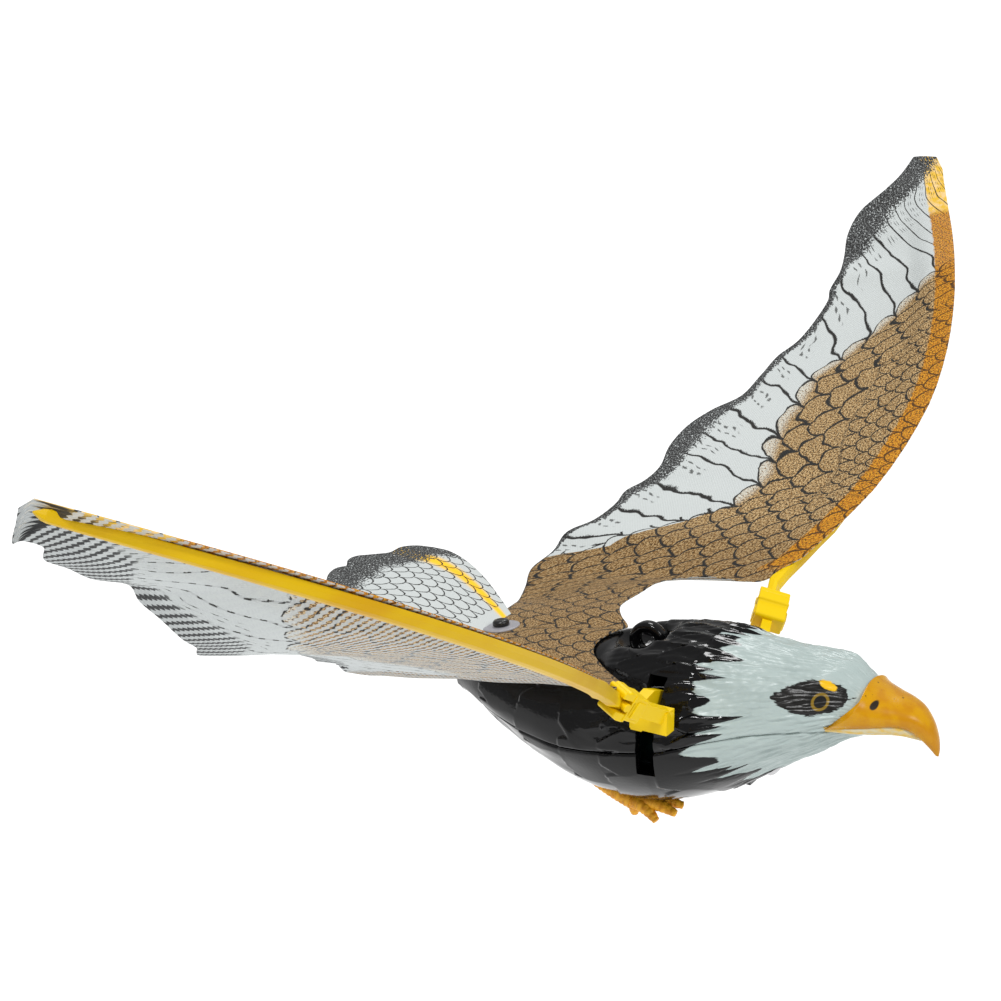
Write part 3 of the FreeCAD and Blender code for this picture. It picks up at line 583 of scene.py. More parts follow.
def shell(name, upper):
    """One body shell, with feathers moulded on it, the brow and the eye sockets."""
    rows, columns = 290, 230
    x_line = np.linspace(STATIONS[0][0], STATIONS[-1][0], rows)
    x = np.repeat(x_line[:, None], columns, axis=1)
    split = seam_angle(x) + (-SEAM_GAP if upper else SEAM_GAP)
    f = np.linspace(-1, 1, columns)[None, :]
    angle = f * split if upper else math.pi + f * (math.pi - split)
    plain = body_grid(x, angle)
    n = normals_of(plain)
    turned = np.where(angle > math.pi, angle - 2 * math.pi, angle)
    ends = ramp(x, STATIONS[0][0] + 1, STATIONS[1][0] + 4)
    ends = ends * ramp(x, STATIONS[-2][0], STATIONS[-2][0] - 3)
    in_dish = 1 - (x / (SADDLE[0] - 1.0)) ** 2 - (plain[..., 1] / (SADDLE[1] * 0.6)) ** 2
    calm = 1 - ramp(in_dish, -0.15, 0.25) * (np.cos(turned) > 0)
    smooth_back = ramp(x, -8.0, -2.0) + ramp(x, -12, -20) + ramp(np.abs(turned), 0.75, 1.1)
    calm = calm * np.clip(smooth_back, 0.12, 1)
    under_body = table(BELLY_INSET, x) * ramp(np.abs(turned), 1.5, 2.2)
    shoulders = ramp(np.abs(turned), 1.0, 0.5) * ramp(x, 36.0, 22.0) * ramp(x, -12.0, -2.0)
    inset = (0.5 * ramp(x, 40.0, 25.0) + under_body - 1.3 * shoulders) * ends * calm
    base = plain - n * inset[..., None]
    relief = feathers(x, turned) * ends * calm
    brow = np.exp(-((x - EYE[0] - 0.5) / 4.5) ** 2 - ((plain[..., 2] - EYE[1] - 4.6) / 1.3) ** 2)
    socket = np.exp(-((x - EYE[0]) / 4.0) ** 2 - ((plain[..., 2] - EYE[1] - 0.4) / 2.4) ** 2)
    relief = relief * (1 - 0.8 * socket) + 0.9 * brow - 0.45 * socket
    from_seam = (1 - np.abs(f)) * (split if upper else math.pi - split) * 17.0
    relief = relief - 0.35 * ramp(from_seam, 0.55, 0.0)
    outer = base + n * relief[..., None]
    inner = base - n * np.minimum(WALL, 0.3 + 1.2 * ends)[..., None]
    points, faces = closed_grid(outer, inner)
    piece = make_piece(name, points, faces, SHELL)
    pale = x - black_end(turned)
    set_values(piece, "pale_mm", [pale, 0 * pale + INSIDE])
    return piece


def cutter(name, low, high):
    """Box that cuts an opening; its faces turn into black edges."""
    corners = [(x, y, z) for x in (low[0], high[0]) for y in (low[1], high[1]) for z in (low[2], high[2])]
    faces = [(0, 1, 3, 2), (4, 6, 7, 5), (0, 4, 5, 1), (2, 3, 7, 6), (0, 2, 6, 4), (1, 5, 7, 3)]
    tool = make_piece(name, corners, faces, SHELL, smooth=False)
    set_values(tool, "pale_mm", [INSIDE] * len(corners))
    return tool


def carve(piece, tool, operation="DIFFERENCE"):
    """Applies a boolean to the piece and keeps its smooth shading and attributes."""
    modifier = piece.modifiers.new("carve", "BOOLEAN")
    modifier.operation = operation
    modifier.object = tool
    modifier.solver = "EXACT"
    graph = bpy.context.evaluated_depsgraph_get()
    carved = bpy.data.meshes.new_from_object(piece.evaluated_get(graph))
    piece.modifiers.clear()
    piece.data = carved
    cut_marks = carved.attributes.get("pale_mm")
    for mark in cut_marks.data if cut_marks else []:
        if abs(mark.value) < 1e-6:
            mark.value = INSIDE
    carved.set_sharp_from_angle(angle=math.radians(62))


def make_shells():
    """Both shells with the arm slots, and the battery cover cut from the lower one."""
    upper, lower = shell("upper_shell_skin", True), shell("lower_shell_skin", False)
    slot = cutter("slot_tool", (8.4, -40, -21.6), (12.4, 40, -0.6))
    low, _ = (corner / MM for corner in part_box("battery_cover"))
    rear, front, half = -32.6, 15.4, 11.4
    gap = 0.3
    hatch = cutter("hatch_tool", (rear - gap, -half - gap, low.z - 5), (front + gap, half + gap, -21.0))
    lid = cutter("lid_tool", (rear, -half, low.z - 5), (front, half, -21.0))
    x, travel = 25.3, 4.2
    window = cutter("window_tool", (x - 1.8, -travel, -36), (x + 1.8, travel, -16))
    cover = lower.copy()
    cover.data = lower.data.copy()
    cover.name = "battery_cover_skin"
    bpy.context.scene.collection.objects.link(cover)
    carve(upper, slot)
    carve(lower, slot)
    carve(lower, hatch)
    carve(lower, window)
    carve(cover, lid, "INTERSECT")
    for tool in (slot, hatch, lid, window):
        bpy.data.objects.remove(tool)
    for piece, node, body in ((upper, "upper_shell", "root"), (lower, "lower_shell", "root"),
                              (cover, "battery_cover", "cover")):
        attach(piece, body)
        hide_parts(node)


def make_lug():
    """Ring that the decoy hangs from, on a flared foot in the valley of the back."""
    turns, sides = 64, 20
    points = []
    for i in range(turns):
        a = 2 * math.pi * i / turns
        for j in range(sides):
            b = 2 * math.pi * j / sides
            edge = abs(math.cos(b)) ** 0.6 * math.copysign(1, math.cos(b))
            r = 3.25 + 1.15 * edge
            points.append((r * math.sin(a), 1.5 * abs(math.sin(b)) ** 0.6 * math.copysign(1, math.sin(b)),
                           r * math.cos(a)))
    faces = []
    for i in range(turns):
        for j in range(sides):
            a, b = i * sides + j, i * sides + (j + 1) % sides
            c, d = (a + sides) % len(points), (b + sides) % len(points)
            faces.append((a, c, d, b))
    ring = make_piece("hanging_ring", points, faces, SHELL)
    foot_rings = [(-5.6, 5.6, 3.0), (-4.4, 4.4, 2.1), (-3.4, 3.4, 1.7), (-2.4, 2.6, 1.4)]
    points = []
    for z, a, b in foot_rings:
        points += [(a * math.cos(t), b * math.sin(t), z) for t in np.linspace(0, 2 * math.pi, 32, False)]
    foot = make_piece("hanging_ring_foot", points, tube_faces(len(foot_rings), 32), SHELL)
    for piece in (ring, foot):
        set_values(piece, "pale_mm", [INSIDE] * len(piece.data.vertices))
        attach(piece, "root")


# ---- beak

# Upper beak from its base to its hooked tip: ridge x and z, lower edge x and z, half width.
UPPER_BEAK = [
    (51.6, 2, 45.8, -6.6, 10.6), (53.1, 1.2, 49.4, -6.2, 9.2), (56.4, 0.2, 53.7, -5.7, 7.6),
    (59.6, -0.6, 57.6, -5.1, 6.1), (62.6, -2, 60.2, -5.2, 4.9), (65, -4.5, 62.2, -6.3, 3.6),
    (66.4, -7.4, 63.9, -8.1, 2.4), (66.9, -10, 65.2, -9.9, 1.3), (66.8, -11.7, 66.3, -11.6, 0.4),
]
# Lower beak, in the same columns.
LOWER_BEAK_LINE = [
    (45.6, -6.2, 45.6, -8, 10.4), (49.8, -5.6, 50, -8.3, 8.9), (54.2, -5, 54.2, -8.3, 7.3),
    (57.6, -4.6, 57.4, -8, 5.9), (60.2, -4.9, 60, -8, 4.7), (61.9, -6, 61.7, -8.4, 3.3),
    (63.3, -7.4, 63.1, -8.9, 1.6),
]


def beak_part(name, line, material, bow, over):
    """Beak half as rings: over draws the rounded ridge on top, or else the keel below."""
    rings, size = 60, 40
    points = []
    for t in np.linspace(0, 1, rings):
        a_x, a_z, b_x, b_z, half = curve_through(line, t)
        lean = bow * (1 - t) ** 3
        for i in range(size):
            angle = -0.5 * math.pi + math.pi * i / (size - 1)
            share = math.cos(angle) ** 0.75 if over else 1 - math.cos(angle) ** 0.4
            x = b_x + (a_x - b_x) * share + lean * 4 * share * (1 - share)
            points.append((x, half * math.sin(angle), b_z + (a_z - b_z) * share))
    piece = make_piece(name, points, tube_faces(rings, size), material)
    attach(piece, "root")


def make_beak():
    beak_part("upper_beak", UPPER_BEAK, BEAK, 2.4, True)
    beak_part("lower_beak", LOWER_BEAK_LINE, LOWER_BEAK, 0.0, False)


# ---- spars, clips

# Outer end and middle line of the left clip, and how far it leans forwards.
CLIP_MOUTH = np.array([12.3, 40.0, 3.6])
CLIP_INNER = np.array([16.0, 25.6, -4.4])
CLIP_LEAN = math.radians(16.8)
# How far each clip sits out along its lever and ahead of it, and its thickness.
CLIP_SLIDE = {"left": (-2.8, -0.6, 6.8), "right": (2.5, -0.8, 4.8)}


def spar_point(s):
    """Centre line of the left spar, s from 0 at the clip to 1 at the tip."""
    s = np.asarray(s, float)
    x = 83.41 * s - 183.59 * s ** 2 + 84.51 * s ** 3
    y = 205.36 * s - 63.15 * s ** 2 - 3.62 * s ** 3
    z = 117.15 * s - 45.1 * s ** 2 + 3.15 * s ** 3
    return CLIP_MOUTH + np.stack([x, y, z], -1)


def spar_frame(s):
    """Directions at a place on the spar: along it, off the film's upper face, and forwards."""
    along = unit(spar_point(s + 0.01) - spar_point(s - 0.01))
    slope = float(np.interp(s, [0, 0.2, 0.5, 0.8, 1], [0.13, 0.15, 0.31, 0.12, 0]))
    forwards = np.array([1.0, 0, slope])
    up = unit(np.cross(forwards, along))
    return along, up, np.cross(along, up)


def mirror(points, side):
    return np.asarray(points, float) * np.array([1, side, 1])


def turned_faces(faces, side):
    return faces if side > 0 else [f[::-1] for f in faces]


def make_spar(word, side):
    """Tapered blade with a ridge along it, a collar near its root and a pointed tip."""
    stations = np.concatenate([[-0.034, -0.004, 0.012], np.linspace(0.03, 0.985, 90), [0.996, 1.004]])
    section = [(1.0, 0.35), (0.82, 1.0), (0.0, 1.12), (-0.82, 1.0), (-1.0, 0.35),
               (-1.0, -0.6), (-0.7, -1.0), (0.7, -1.0), (1.0, -0.6)]
    points = []
    for s in stations:
        centre = spar_point(max(s, 0.0))
        along, up, across = spar_frame(max(s, 0.0))
        if s < 0:
            centre = CLIP_MOUTH + unit(CLIP_INNER - CLIP_MOUTH) * (-s * 200.0)
        point = min(1.0, 0.12 + (1.004 - s) * 38)
        half_up = (1.6 - 0.6 * s) * point
        half_across = (1.35 - 0.55 * s) * min(1.0, point + 0.25)
        collar = 1 + 0.16 * math.exp(-((s - 0.083) / 0.012) ** 2)
        points += [centre + up * (a * half_up * collar) + across * (b * half_across * collar)
                   for a, b in section]
    faces = turned_faces(tube_faces(len(stations), len(section)), side)
    piece = make_piece(f"spar_skin_{word}", mirror(points, side), faces, YELLOW, smooth=False)
    bevelled(piece, 0.22, 2)
    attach(piece, "wing_" + word)
    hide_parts("spar_" + word)


def clip_axes():
    along = unit(CLIP_MOUTH - CLIP_INNER)
    upright = unit(np.array([0, 0, 1.0]) - along * along[2])
    ahead = unit(np.array([1.0, 0, 0]) - along * along[0])
    width = upright * math.cos(CLIP_LEAN) + ahead * math.sin(CLIP_LEAN)
    return along, width, np.cross(along, width)


def make_clip(word, side):
    """Forked clip: a block with a step, two prongs and the recess that takes the spar."""
    axes = clip_axes()
    out, ahead, thick = CLIP_SLIDE[word]
    origin = CLIP_INNER + axes[0] * out + axes[2] * ahead
    half = [(6.4, -2.3), (6.8, -2.7), (10.6, -2.7), (11.0, -3.2), (13.0, -3.2), (13.6, -2.8), (14.4, -2.9),
            (14.9, -2.4), (14.5, -1.4), (10.4, -1.4)]
    block = half + [(a, -b) for a, b in reversed(half)]
    step, rib = rectangle(7.2, 9.8, 1.9), rectangle(10.9, 11.4, 3.0)
    floor = rectangle(10.0, 14.0, 1.6)
    boss = [(12.2 + 0.9 * math.cos(a), 0.9 * math.sin(a)) for a in np.linspace(0, 2 * math.pi, 20, False)]
    layers = [("block", block, thick, 0.9, 0.4), ("step", step, thick + 0.6, 0.9, 0.25),
              ("rib", rib, thick + 0.3, 0.9, 0.1), ("floor", floor, 0.5 * thick, 0.0, 0.15),
              ("boss", boss, thick + 0.5, 0.9, 0.12)]
    mirrored_axes = [mirror(axis, side) for axis in axes]
    for label, outline, thickness, lift, width in layers:
        piece = extruded(f"clip_{label}_{word}", outline, thickness, mirror(origin, side), mirrored_axes,
                         YELLOW, lift)
        if side > 0:
            piece.data.flip_normals()
        bevelled(piece, width, 3)
        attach(piece, "wing_" + word)
    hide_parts("clip_" + word)


# ---- films

# Rear edge of the left film from the centre line to the tip.
FILM_REAR = [
    (-43.2, 0, -5.8), (-43.6, 6, -5.7), (-44.6, 13, -6.2), (-46.6, 20, -7.2), (-49, 27, -8.6),
    (-50.8, 33, -7.6), (-52.6, 39, -5), (-49.9, 45, -1.6), (-48.6, 49.6, 2.2), (-44, 55.5, 4.4),
    (-40.9, 61, 7.4), (-40.6, 66, 9.6), (-37.7, 70.5, 11.9), (-35.8, 75, 15), (-36.7, 82, 18.6),
    (-35.5, 90, 21.7), (-31.7, 96.5, 24.8), (-26.9, 104, 27.9), (-25.6, 113, 32.2), (-24.6, 121.5, 35.4),
    (-20.7, 126.5, 38.9), (-18.8, 132.5, 42.9), (-17.8, 139, 48), (-18.6, 142, 50.8),
    (-17.6, 145.5, 55), (-19.4, 153, 58.2), (-20.6, 158.5, 63.4), (-19.6, 165.5, 68.8),
    (-14.8, 170.5, 74.4), (-12.6, 175.5, 78.2),
]
# Front edge from the centre line along the neck cut-out to the spar.
FILM_NECK = {
    "left": [
        (-7.4, 0, 1), (-6.2, 2, 1.3), (-9.9, 6, 1.6), (-13, 11, 1.5), (-14.2, 16, 1.3),
        (-13.3, 22, 2.1), (-11.2, 26, 3.4), (-6, 30, 4.1), (0, 33, 4.4), (6.2, 36, 3.6),
        (10.4, 38.5, 4), (13.2, 41.5, 6.6),
    ],
    "right": [
        (-7.4, 0, 1), (-9.4, 3.5, -0.1), (-9.6, 7, -0.8), (-7.7, 11, -0.9), (-4.4, 15, -0.8),
        (-0.7, 19, -0.1), (3.6, 24, 1.4), (8.5, 30, 3), (12.2, 36, 5), (13.2, 41.5, 6.6),
    ],
}
# Front and rear corner at the tip of each film.
FILM_TIP = {"left": [(-1.2, 178.2, 80.2), (-4.5, 181.5, 83.2)],
            "right": [(-6.4, 176.8, 80), (-7.6, 177.4, 78.4)]}
FILM_REAR_TIP = {"left": (-11.1, 181, 83), "right": (-9.4, 177.4, 73)}
# How much lower and further forwards the rear edge of the right film lies, at places along it.
RIGHT_DROOP = [(100, 0), (122, 1.6), (134, 1.6), (142, -0.6), (152, -1.2), (160, 2), (170, 4.4), (176, 5.4)]
RIGHT_SHIFT = [(150, 0), (160, 4), (170, 4.6), (176, 3.2)]
# How far each film reaches ahead of the spar's middle, at places along the spar.
OVERHANG_AT = [0, 0.05, 0.15, 0.3, 0.45, 0.6, 0.8, 1]
OVERHANG = {"left": [1.4, 3, 5.2, 5.6, 4.2, 3, 2.2, 2], "right": [0, 0, 0.2, 0.6, 1, 1.7, 2.2, 4.2]}
FILM_THICKNESS = 0.3
# Place on the spar where the front edge turns round the tip.
SPAN_FRONT_END = 0.955


def film_front_line(word):
    """Front edge of a film ahead of its spar and round the tip, drawn on the left."""
    line = []
    for s in np.linspace(0.03, SPAN_FRONT_END, 26):
        _, up, across = spar_frame(s)
        reach = np.interp(s, OVERHANG_AT, OVERHANG[word])
        line.append(spar_point(s) + up * (1.95 - 0.5 * s) + across * reach)
    return np.array(line + FILM_TIP[word])


def by_side(line, y):
    """Points of a line that always moves outwards, at given y."""
    line = np.asarray(line, float)
    return np.stack([np.interp(y, line[:, 1], line[:, 0]), y, np.interp(y, line[:, 1], line[:, 2])], -1)


def film_grid(word):
    """Front and rear edge of a film, drawn on the left, at matching places out to the tip."""
    rear = np.array(FILM_REAR + [FILM_REAR_TIP[word]])
    if word == "right":
        rear[:-1, 2] -= table(RIGHT_DROOP, rear[:-1, 1])
        rear[:-1, 0] += table(RIGHT_SHIFT, rear[:-1, 1])
    fine_rear = curve_through(rear, np.linspace(0, 1, 400))
    fine_rear = fine_rear[np.argsort(fine_rear[:, 1])]
    neck = curve_through(FILM_NECK[word], np.linspace(0, 1, 120))
    front = np.vstack([neck, film_front_line(word)])
    share = np.linspace(0, 1, 250)
    return by_side(front, share * front[-1, 1]), by_side(fine_rear, share * fine_rear[-1, 1])


# Print of the wing film against y: depth of the white feathers, number of feathers from the
# root, how far a feather's rear end lies further out, and depth of the dark rear border.
FEATHER_DEPTH = [(0, -40), (38, -12), (43.3, 2), (46.5, 15), (51, 20), (55, 23.5), (58.4, 27), (62, 33),
                 (66, 36), (70, 34.5), (75, 32), (80, 31), (86, 29.5), (91.6, 27.6), (96.3, 25.5),
                 (103, 20.5), (109.6, 18.5), (115, 22.5), (121, 25), (128, 25.5), (134, 28), (139.4, 33),
                 (143, 40), (181, 60)]
FEATHER_COUNT = [(0, -9), (49.7, 0), (56, 1), (62, 2), (68.5, 3), (76, 4), (86, 5), (97, 6), (107, 7),
                 (115.3, 8), (122.5, 9), (129, 10), (134.5, 11), (139.4, 12), (150, 14.5), (181, 20)]
FEATHER_LEAN = [(0, -6), (49.7, -2), (55, 3), (61.6, 8), (65, 13), (74, 14), (86, 13), (96, 15), (109, 16.5),
                (115, 20), (123, 23), (129, 29), (134.5, 32), (139.4, 35), (181, 40)]
# Where the scales of the root end, and depths of one row: white, at the root, outer rear and front.
ROOT_END = 64.0
WHITE_ROW, ROOT_ROW, REAR_ROW, FRONT_ROW = 4.6, 4.4, 5.6, 3.9
REAR_ROWS_DEPTH = 16.8
BORDER_DEPTH = [(0, 0.3), (42, 0.3), (50, 2.2), (63, 3), (67, 6), (76, 6.5), (87, 9.5), (98, 6), (106, 3.5),
                (112, 2.2), (120, 3.2), (128, 2.6), (149, 2.4), (154, 8), (160, 13), (168, 12), (181, 9)]


def film_print(y, chord, length):
    """Print coordinates: q counts scales along the wing, v counts rows towards the rear and
    white counts rows from the front of the white feathers."""
    start = y
    for _ in range(14):
        depth = np.minimum(table(FEATHER_DEPTH, start), length)
        share = np.clip((chord - length + depth) / np.maximum(depth, 4.0), 0, 1)
        start = 0.5 * start + 0.5 * (y - table(FEATHER_LEAN, start) * share)
    front = length - table(FEATHER_DEPTH, y)
    white = (chord - front) / WHITE_ROW
    near = y < ROOT_END
    rows_from = np.where(near, np.interp(ROOT_END, y[:, 0], front[:, 0]), front)
    ahead = np.maximum(rows_from - chord, 0)
    front_depth = np.maximum(ahead - REAR_ROWS_DEPTH, 0)
    outer_rows = np.minimum(ahead, REAR_ROWS_DEPTH) / REAR_ROW + front_depth / FRONT_ROW
    rows_ahead = np.where(near, ahead / ROOT_ROW, outer_rows)
    v = np.where(chord > rows_from, (chord - rows_from) / WHITE_ROW, -rows_ahead)
    q = table(FEATHER_COUNT, start)
    return np.where((v < -3) & ~near, q * 2, q), v, white


def print_on(piece, layers, shape):
    """Stores print coordinates on both sides of a sheet that was made from a grid of this shape."""
    for name, values in layers.items():
        set_values(piece, name, [np.broadcast_to(values, shape)] * 2)
    set_values(piece, "under", [np.zeros(shape), np.ones(shape)])


def make_wing_film(word, side):
    """One half of the wing film, from the middle of the back to the tip."""
    front_edge, rear_edge = film_grid(word)
    rows, columns = len(front_edge), 76
    t = np.linspace(0, 1, columns)[None, :] ** 0.9
    grid = front_edge[:, None] * (1 - t[..., None]) + rear_edge[:, None] * t[..., None]
    y = grid[..., 1]
    length = np.linalg.norm(rear_edge - front_edge, axis=1)[:, None]
    chord = t * length
    n = normals_of(grid)
    n = n * np.where(n[..., 2:3] < 0, -1, 1)
    out = ramp(y, 40, 80) * ramp(y, 181, 140)
    sag = -2.0 * out * np.sin(math.pi * t) * ramp(chord, 6, 14)
    ripple = 0.45 * np.sin(y / 5.6 + 3.2 * t) * t ** 1.5 * ramp(y, 46, 70)
    crease = 0.6 * grain(y / 2.2, t * 30.0, 0 * y + side, 7.0)
    crease = crease * ramp(y, 4, 20) * ramp(y, 60, 35)
    grid = grid + n * (sag + ripple + crease)[..., None]
    upper = grid + n * (0.5 * FILM_THICKNESS)
    lower = grid - n * (0.5 * FILM_THICKNESS)
    points, faces = closed_grid(mirror(upper, side), mirror(lower, side))
    faces = turned_faces(faces, -side)
    piece = make_piece(f"wing_membrane_{word}", points, faces, WING_FILM)
    q, v, white = film_print(y, chord, length)
    border = table(BORDER_DEPTH, y)
    if word == "right":
        border = border + 8.0 * np.exp(-((y - 130.0) / 14.0) ** 2)
    layers = {"span_mm": y, "chord_mm": chord, "edge_mm": length - chord, "scale_q": q, "scale_v": v,
              "white_rows": white, "border_mm": border}
    print_on(piece, layers, (rows, columns))
    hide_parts("wing_film_" + word)
    if side > 0:
        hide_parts("film_centre")
    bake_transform(piece)


# Outline of the left half of the tail film, seen flat: distance behind the peg and half width.
TAIL_SIDE = [(-2, 4.6), (1.5, 8), (9.5, 13.8), (17, 19), (24.5, 22.8), (30.5, 24.2), (34.5, 23.2)]
TAIL_END = [(34.5, 23.2), (38, 20.8), (40.6, 17.4), (41.2, 13.4), (43.4, 10), (45.6, 6), (46, 2.6),
            (44.6, 0)]
TAIL_TILT = math.radians(14.0)
PEG_X = -37.7


def make_tail_film():
    """Fan of printed film that stands up behind the peg, under the wing film."""
    rows, columns = 90, 120
    end = curve_through(TAIL_END, np.linspace(0, 1, 60))
    side_line = curve_through(TAIL_SIDE, np.linspace(0, 1, 60))
    f = np.linspace(-1, 1, columns)
    end_half = np.interp(np.abs(f) * TAIL_END[0][1], end[::-1, 1], end[::-1, 0])
    t = np.linspace(0, 1, rows)[:, None]
    reach = -2.0 + t * (end_half[None, :] + 2.0)
    half = np.interp(np.minimum(reach, 34.4), side_line[:, 0], side_line[:, 1])
    y = f[None, :] * half
    droop = 1.3 * np.sin(math.pi * np.clip(reach / 46, 0, 1)) + 0.5 * np.sin(y / 4.0) * t
    droop = droop - 0.0022 * y ** 2 * t - 2.6 * ramp(reach, 20, 42) * ramp(y, 22, 7)
    x = PEG_X - reach * math.cos(TAIL_TILT)
    z = -6.1 + reach * math.sin(TAIL_TILT) + droop
    middle = np.stack([x, y, z], -1)
    shift = np.array([0, 0, 0.14])
    points, faces = closed_grid(middle + shift, middle - shift)
    piece = make_piece("tail_fan", points, faces, TAIL_FILM)
    layers = {
        "span_mm": y, "chord_mm": reach, "edge_mm": (1 - t) * (end_half[None, :] + 2.0),
        "scale_q": y / (2.6 + 0.045 * reach), "scale_v": -reach / 3.4 + 40.0, "white_rows": 40.0,
        "border_mm": 12.0, "gold": np.exp(-((np.abs(f)[None, :] - 0.68) / 0.10) ** 4),
    }
    print_on(piece, layers, (rows, columns))
    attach(piece, "root")
    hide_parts("tail_film")


# ---- peg, legs


def disc(name, rings, centre, axis, material, size=40):
    """Turned piece: rings of (height along the axis, radius) about a centre."""
    axis = unit(np.array(axis, float))
    side = unit(np.cross(axis, [0, 1, 0]))
    other = np.cross(axis, side)
    points = []
    for height, radius in rings:
        for a in np.linspace(0, 2 * math.pi, size, False):
            points.append(centre + axis * height + radius * (side * math.cos(a) + other * math.sin(a)))
    return make_piece(name, points, tube_faces(len(rings), size), material)


def make_peg():
    """Peg on the rump with the washer that holds the films down."""
    tilt = math.radians(-9.5)
    axis = (math.sin(tilt), 0, math.cos(tilt))
    seat = np.array([PEG_X, 0, -4.7])
    washer = disc("peg_washer_disc", [(0.05, 3.9), (0.05, 4.2), (0.2, 4.35), (0.42, 4.25), (0.5, 4.0), (0.5, 1.6)],
                  seat, axis, WASHER)
    cap = disc("peg_cap", [(-3.4, 1.05), (0.5, 1.05), (0.55, 1.75), (0.8, 1.95), (1.5, 1.9), (1.85, 1.6),
                           (1.95, 1.0), (1.8, 0.5)], seat, axis, BLACK)
    for piece, node, slot in ((washer, "peg_washer", "washer_clear"), (cap, "tail_peg", "black_plastic")):
        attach(piece, "root")
        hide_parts(node)


def ribbed_tube(name, line, radii, pitch, depth, material):
    """Rounded limb along a smooth line, with rings across it."""
    samples, size = 72, 20
    t = np.linspace(0, 1, samples)
    centre = curve_through(line, t)
    radius = curve_through(np.asarray(radii, float)[:, None], t)[:, 0]
    run = np.concatenate([[0], np.cumsum(np.linalg.norm(np.diff(centre, axis=0), axis=1))])
    radius = radius * (1 + depth * np.abs(np.sin(math.pi * run / pitch)) - depth * 0.5)
    radius[0] *= 0.4
    radius[-1] *= 0.25
    points = []
    along = np.gradient(centre, axis=0)
    for c, a, r in zip(centre, along, radius):
        side = unit(np.cross(unit(a), [0.1, 0, 1.0]))
        other = np.cross(side, unit(a))
        for b in np.linspace(0, 2 * math.pi, size, False):
            points.append(c + r * (side * math.cos(b) + other * math.sin(b)))
    return make_piece(name, points, tube_faces(samples, size), material)


def make_leg(word, side):
    """Ribbed vinyl leg along the belly with three front toes and a hind toe."""
    low, _ = (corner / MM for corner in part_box("leg_" + word))
    y = side * 8.0
    hip = (low.x + 1.0, y, low.z + 8.8)
    knee = (0.5 * (low.x + 1.0) + 0.3, y, low.z + 7.0)
    ankle = (1.0, y, low.z + 5.5)
    limbs = [("shank", [hip, knee, ankle], [1.7, 1.9, 2.1], 1.1, 0.07)]
    toes = [(1.2, y - side * 0.8, -38.6), (7.9, y + side * 1.8, -37.6), (11.8, y, -35.6),
            (12.0, y - side * 3.2, -34.9)]
    for i, tip in enumerate(toes):
        middle = 0.5 * (np.array(ankle) + tip) + [0, 0, 0.9]
        limbs.append((f"toe{i + 1}", [ankle, middle, tip], [1.7, 1.6, 0.8], 1.2, 0.09))
    pieces = [ribbed_tube(f"leg_{label}_{word}", line, radii, pitch, depth, VINYL)
              for label, line, radii, pitch, depth in limbs]
    for piece in pieces:
        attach(piece, "cover")
    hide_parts("leg_" + word)


def make_screws():
    """Domed screws set flush in the belly, each with a cross slot."""
    skins = {"shell_screw_1": "lower_shell_skin", "shell_screw_2": "lower_shell_skin",
             "shell_screw_3": "lower_shell_skin", "battery_cover_screw": "battery_cover_skin"}
    for node, skin in skins.items():
        low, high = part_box(node)
        x, y = 0.5 * (low.x + high.x), 0.5 * (low.y + high.y)
        hit, place, outwards, _ = bpy.data.objects[skin].ray_cast(Vector((x, y, -0.1)), Vector((0, 0, 1)))
        seat = np.array([x, y, place.z if hit else low.z]) / MM
        inwards = unit(-np.array(outwards)) if hit else np.array([0, 0, 1.0])
        rings = [(-0.28, 0.5), (-0.24, 1.1), (-0.1, 1.7), (0.3, 1.9), (0.8, 1.9), (0.8, 0.9), (4.0, 0.9)]
        head = disc(node + "_head", rings, seat, inwards, STEEL, 32)
        for turn in (0.4, 0.4 + 0.5 * math.pi):
            along = unit(np.cross([-math.sin(turn), math.cos(turn), 0], inwards))
            across = np.cross(inwards, along)
            bar = extruded(f"{node}_slot_{turn:.0f}", rectangle(-1.2, 1.2, 0.2), 0.6, seat,
                           (along, across, inwards), BLACK)
            carve(head, bar)
            bpy.data.objects.remove(bar)
        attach(head, "cover" if node == "battery_cover_screw" else "root")
        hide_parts(node)


# ---- carried-over pieces

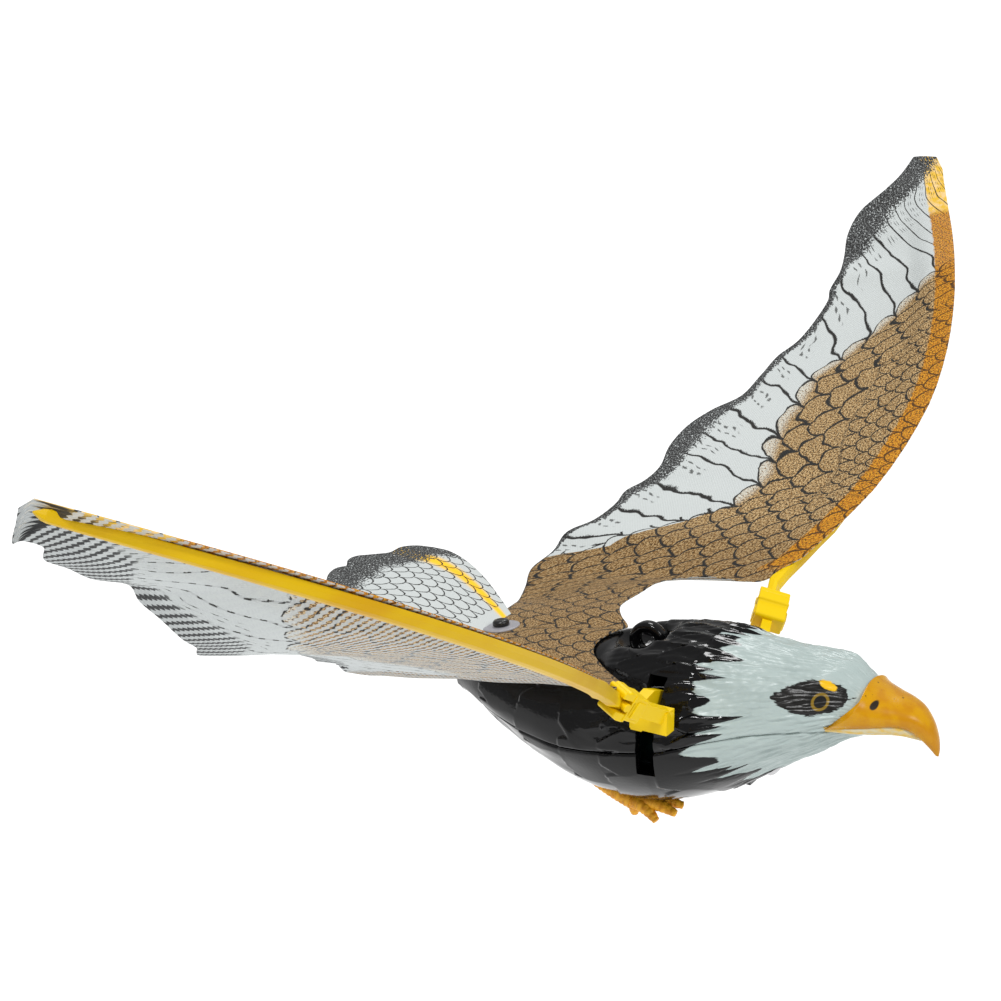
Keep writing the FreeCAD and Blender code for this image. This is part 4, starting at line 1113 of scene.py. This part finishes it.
NODE_PAINT = [
    (FRAME_PLASTIC, "gearbox_rear_plate gearbox_mid_plate motor_plate"),
    (STEEL, "arm_pivot_pin_left arm_pivot_pin_right crank_shaft compound_shaft motor_shaft motor_can"),
    (NYLON, "motor_end_cap crank_gear compound_gear motor_pinion drive_yoke"),
    (WRAP, "cell_left cell_right"),
    (NICKEL, "battery_contact_front battery_contact_rear"),
    (BLACK, "switch_body switch_slider"),
    (YELLOW, "wing_arm_left wing_arm_right"),
]


def paint_nodes():
    for material, nodes in NODE_PAINT:
        for node in nodes.split():
            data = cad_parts[node].data
            data.materials.clear()
            data.materials.append(material)


# ---- stage, light, camera


def make_stage():
    """White floor far below the hanging bird."""
    half, height = 40000.0, -1600.0
    points = [(-half, -half, height), (half, -half, height), (half, half, height), (-half, half, height)]
    paint = Paint("floor_paint", srgb(246, 246, 246), 0.85)
    paint.finish(paint.mix(paint.cloud(0.002, 2.0), srgb(246, 246, 246), srgb(250, 250, 250)))
    make_piece("floor", points, [(0, 1, 2, 3)], paint.material, smooth=False)


def make_light():
    world = bpy.data.worlds.new("studio")
    bpy.context.scene.world = world
    world.use_nodes = True
    background = world.node_tree.nodes["Background"]
    background.inputs["Color"].default_value = (1.0, 1.0, 1.0, 1.0)
    background.inputs["Strength"].default_value = 0.42
    lamps = [("key", 1.9, 13, (30, 0, 5)), ("side", 0.9, 22, (52, 0, 80)), ("back", 0.8, 16, (-40, 0, 20))]
    for name, strength, spread, turn in lamps:
        data = bpy.data.lights.new(name, "SUN")
        data.energy = strength
        data.angle = math.radians(spread)
        light = bpy.data.objects.new(name, data)
        light.rotation_euler = [math.radians(a) for a in turn]
        bpy.context.scene.collection.objects.link(light)


def make_camera():
    data = bpy.data.cameras.new("camera")
    data.sensor_width = 36.0
    data.lens = 71.93
    data.clip_end = 100.0
    camera = bpy.data.objects.new("camera", data)
    camera.location = (0.1838, -0.3659, 0.1629)
    camera.rotation_euler = (math.radians(90 - 17.764), 0, math.radians(31.224))
    bpy.context.scene.collection.objects.link(camera)
    bpy.context.scene.camera = camera
    bpy.context.scene.view_settings.view_transform = "Standard"


make_camera()
make_light()
make_stage()
make_shells()
make_lug()
make_screws()
make_beak()
make_peg()
for word, side in SIDES.items():
    make_spar(word, side)
    make_clip(word, side)
    make_wing_film(word, side)
    make_leg(word, side)
make_tail_film()
paint_nodes()
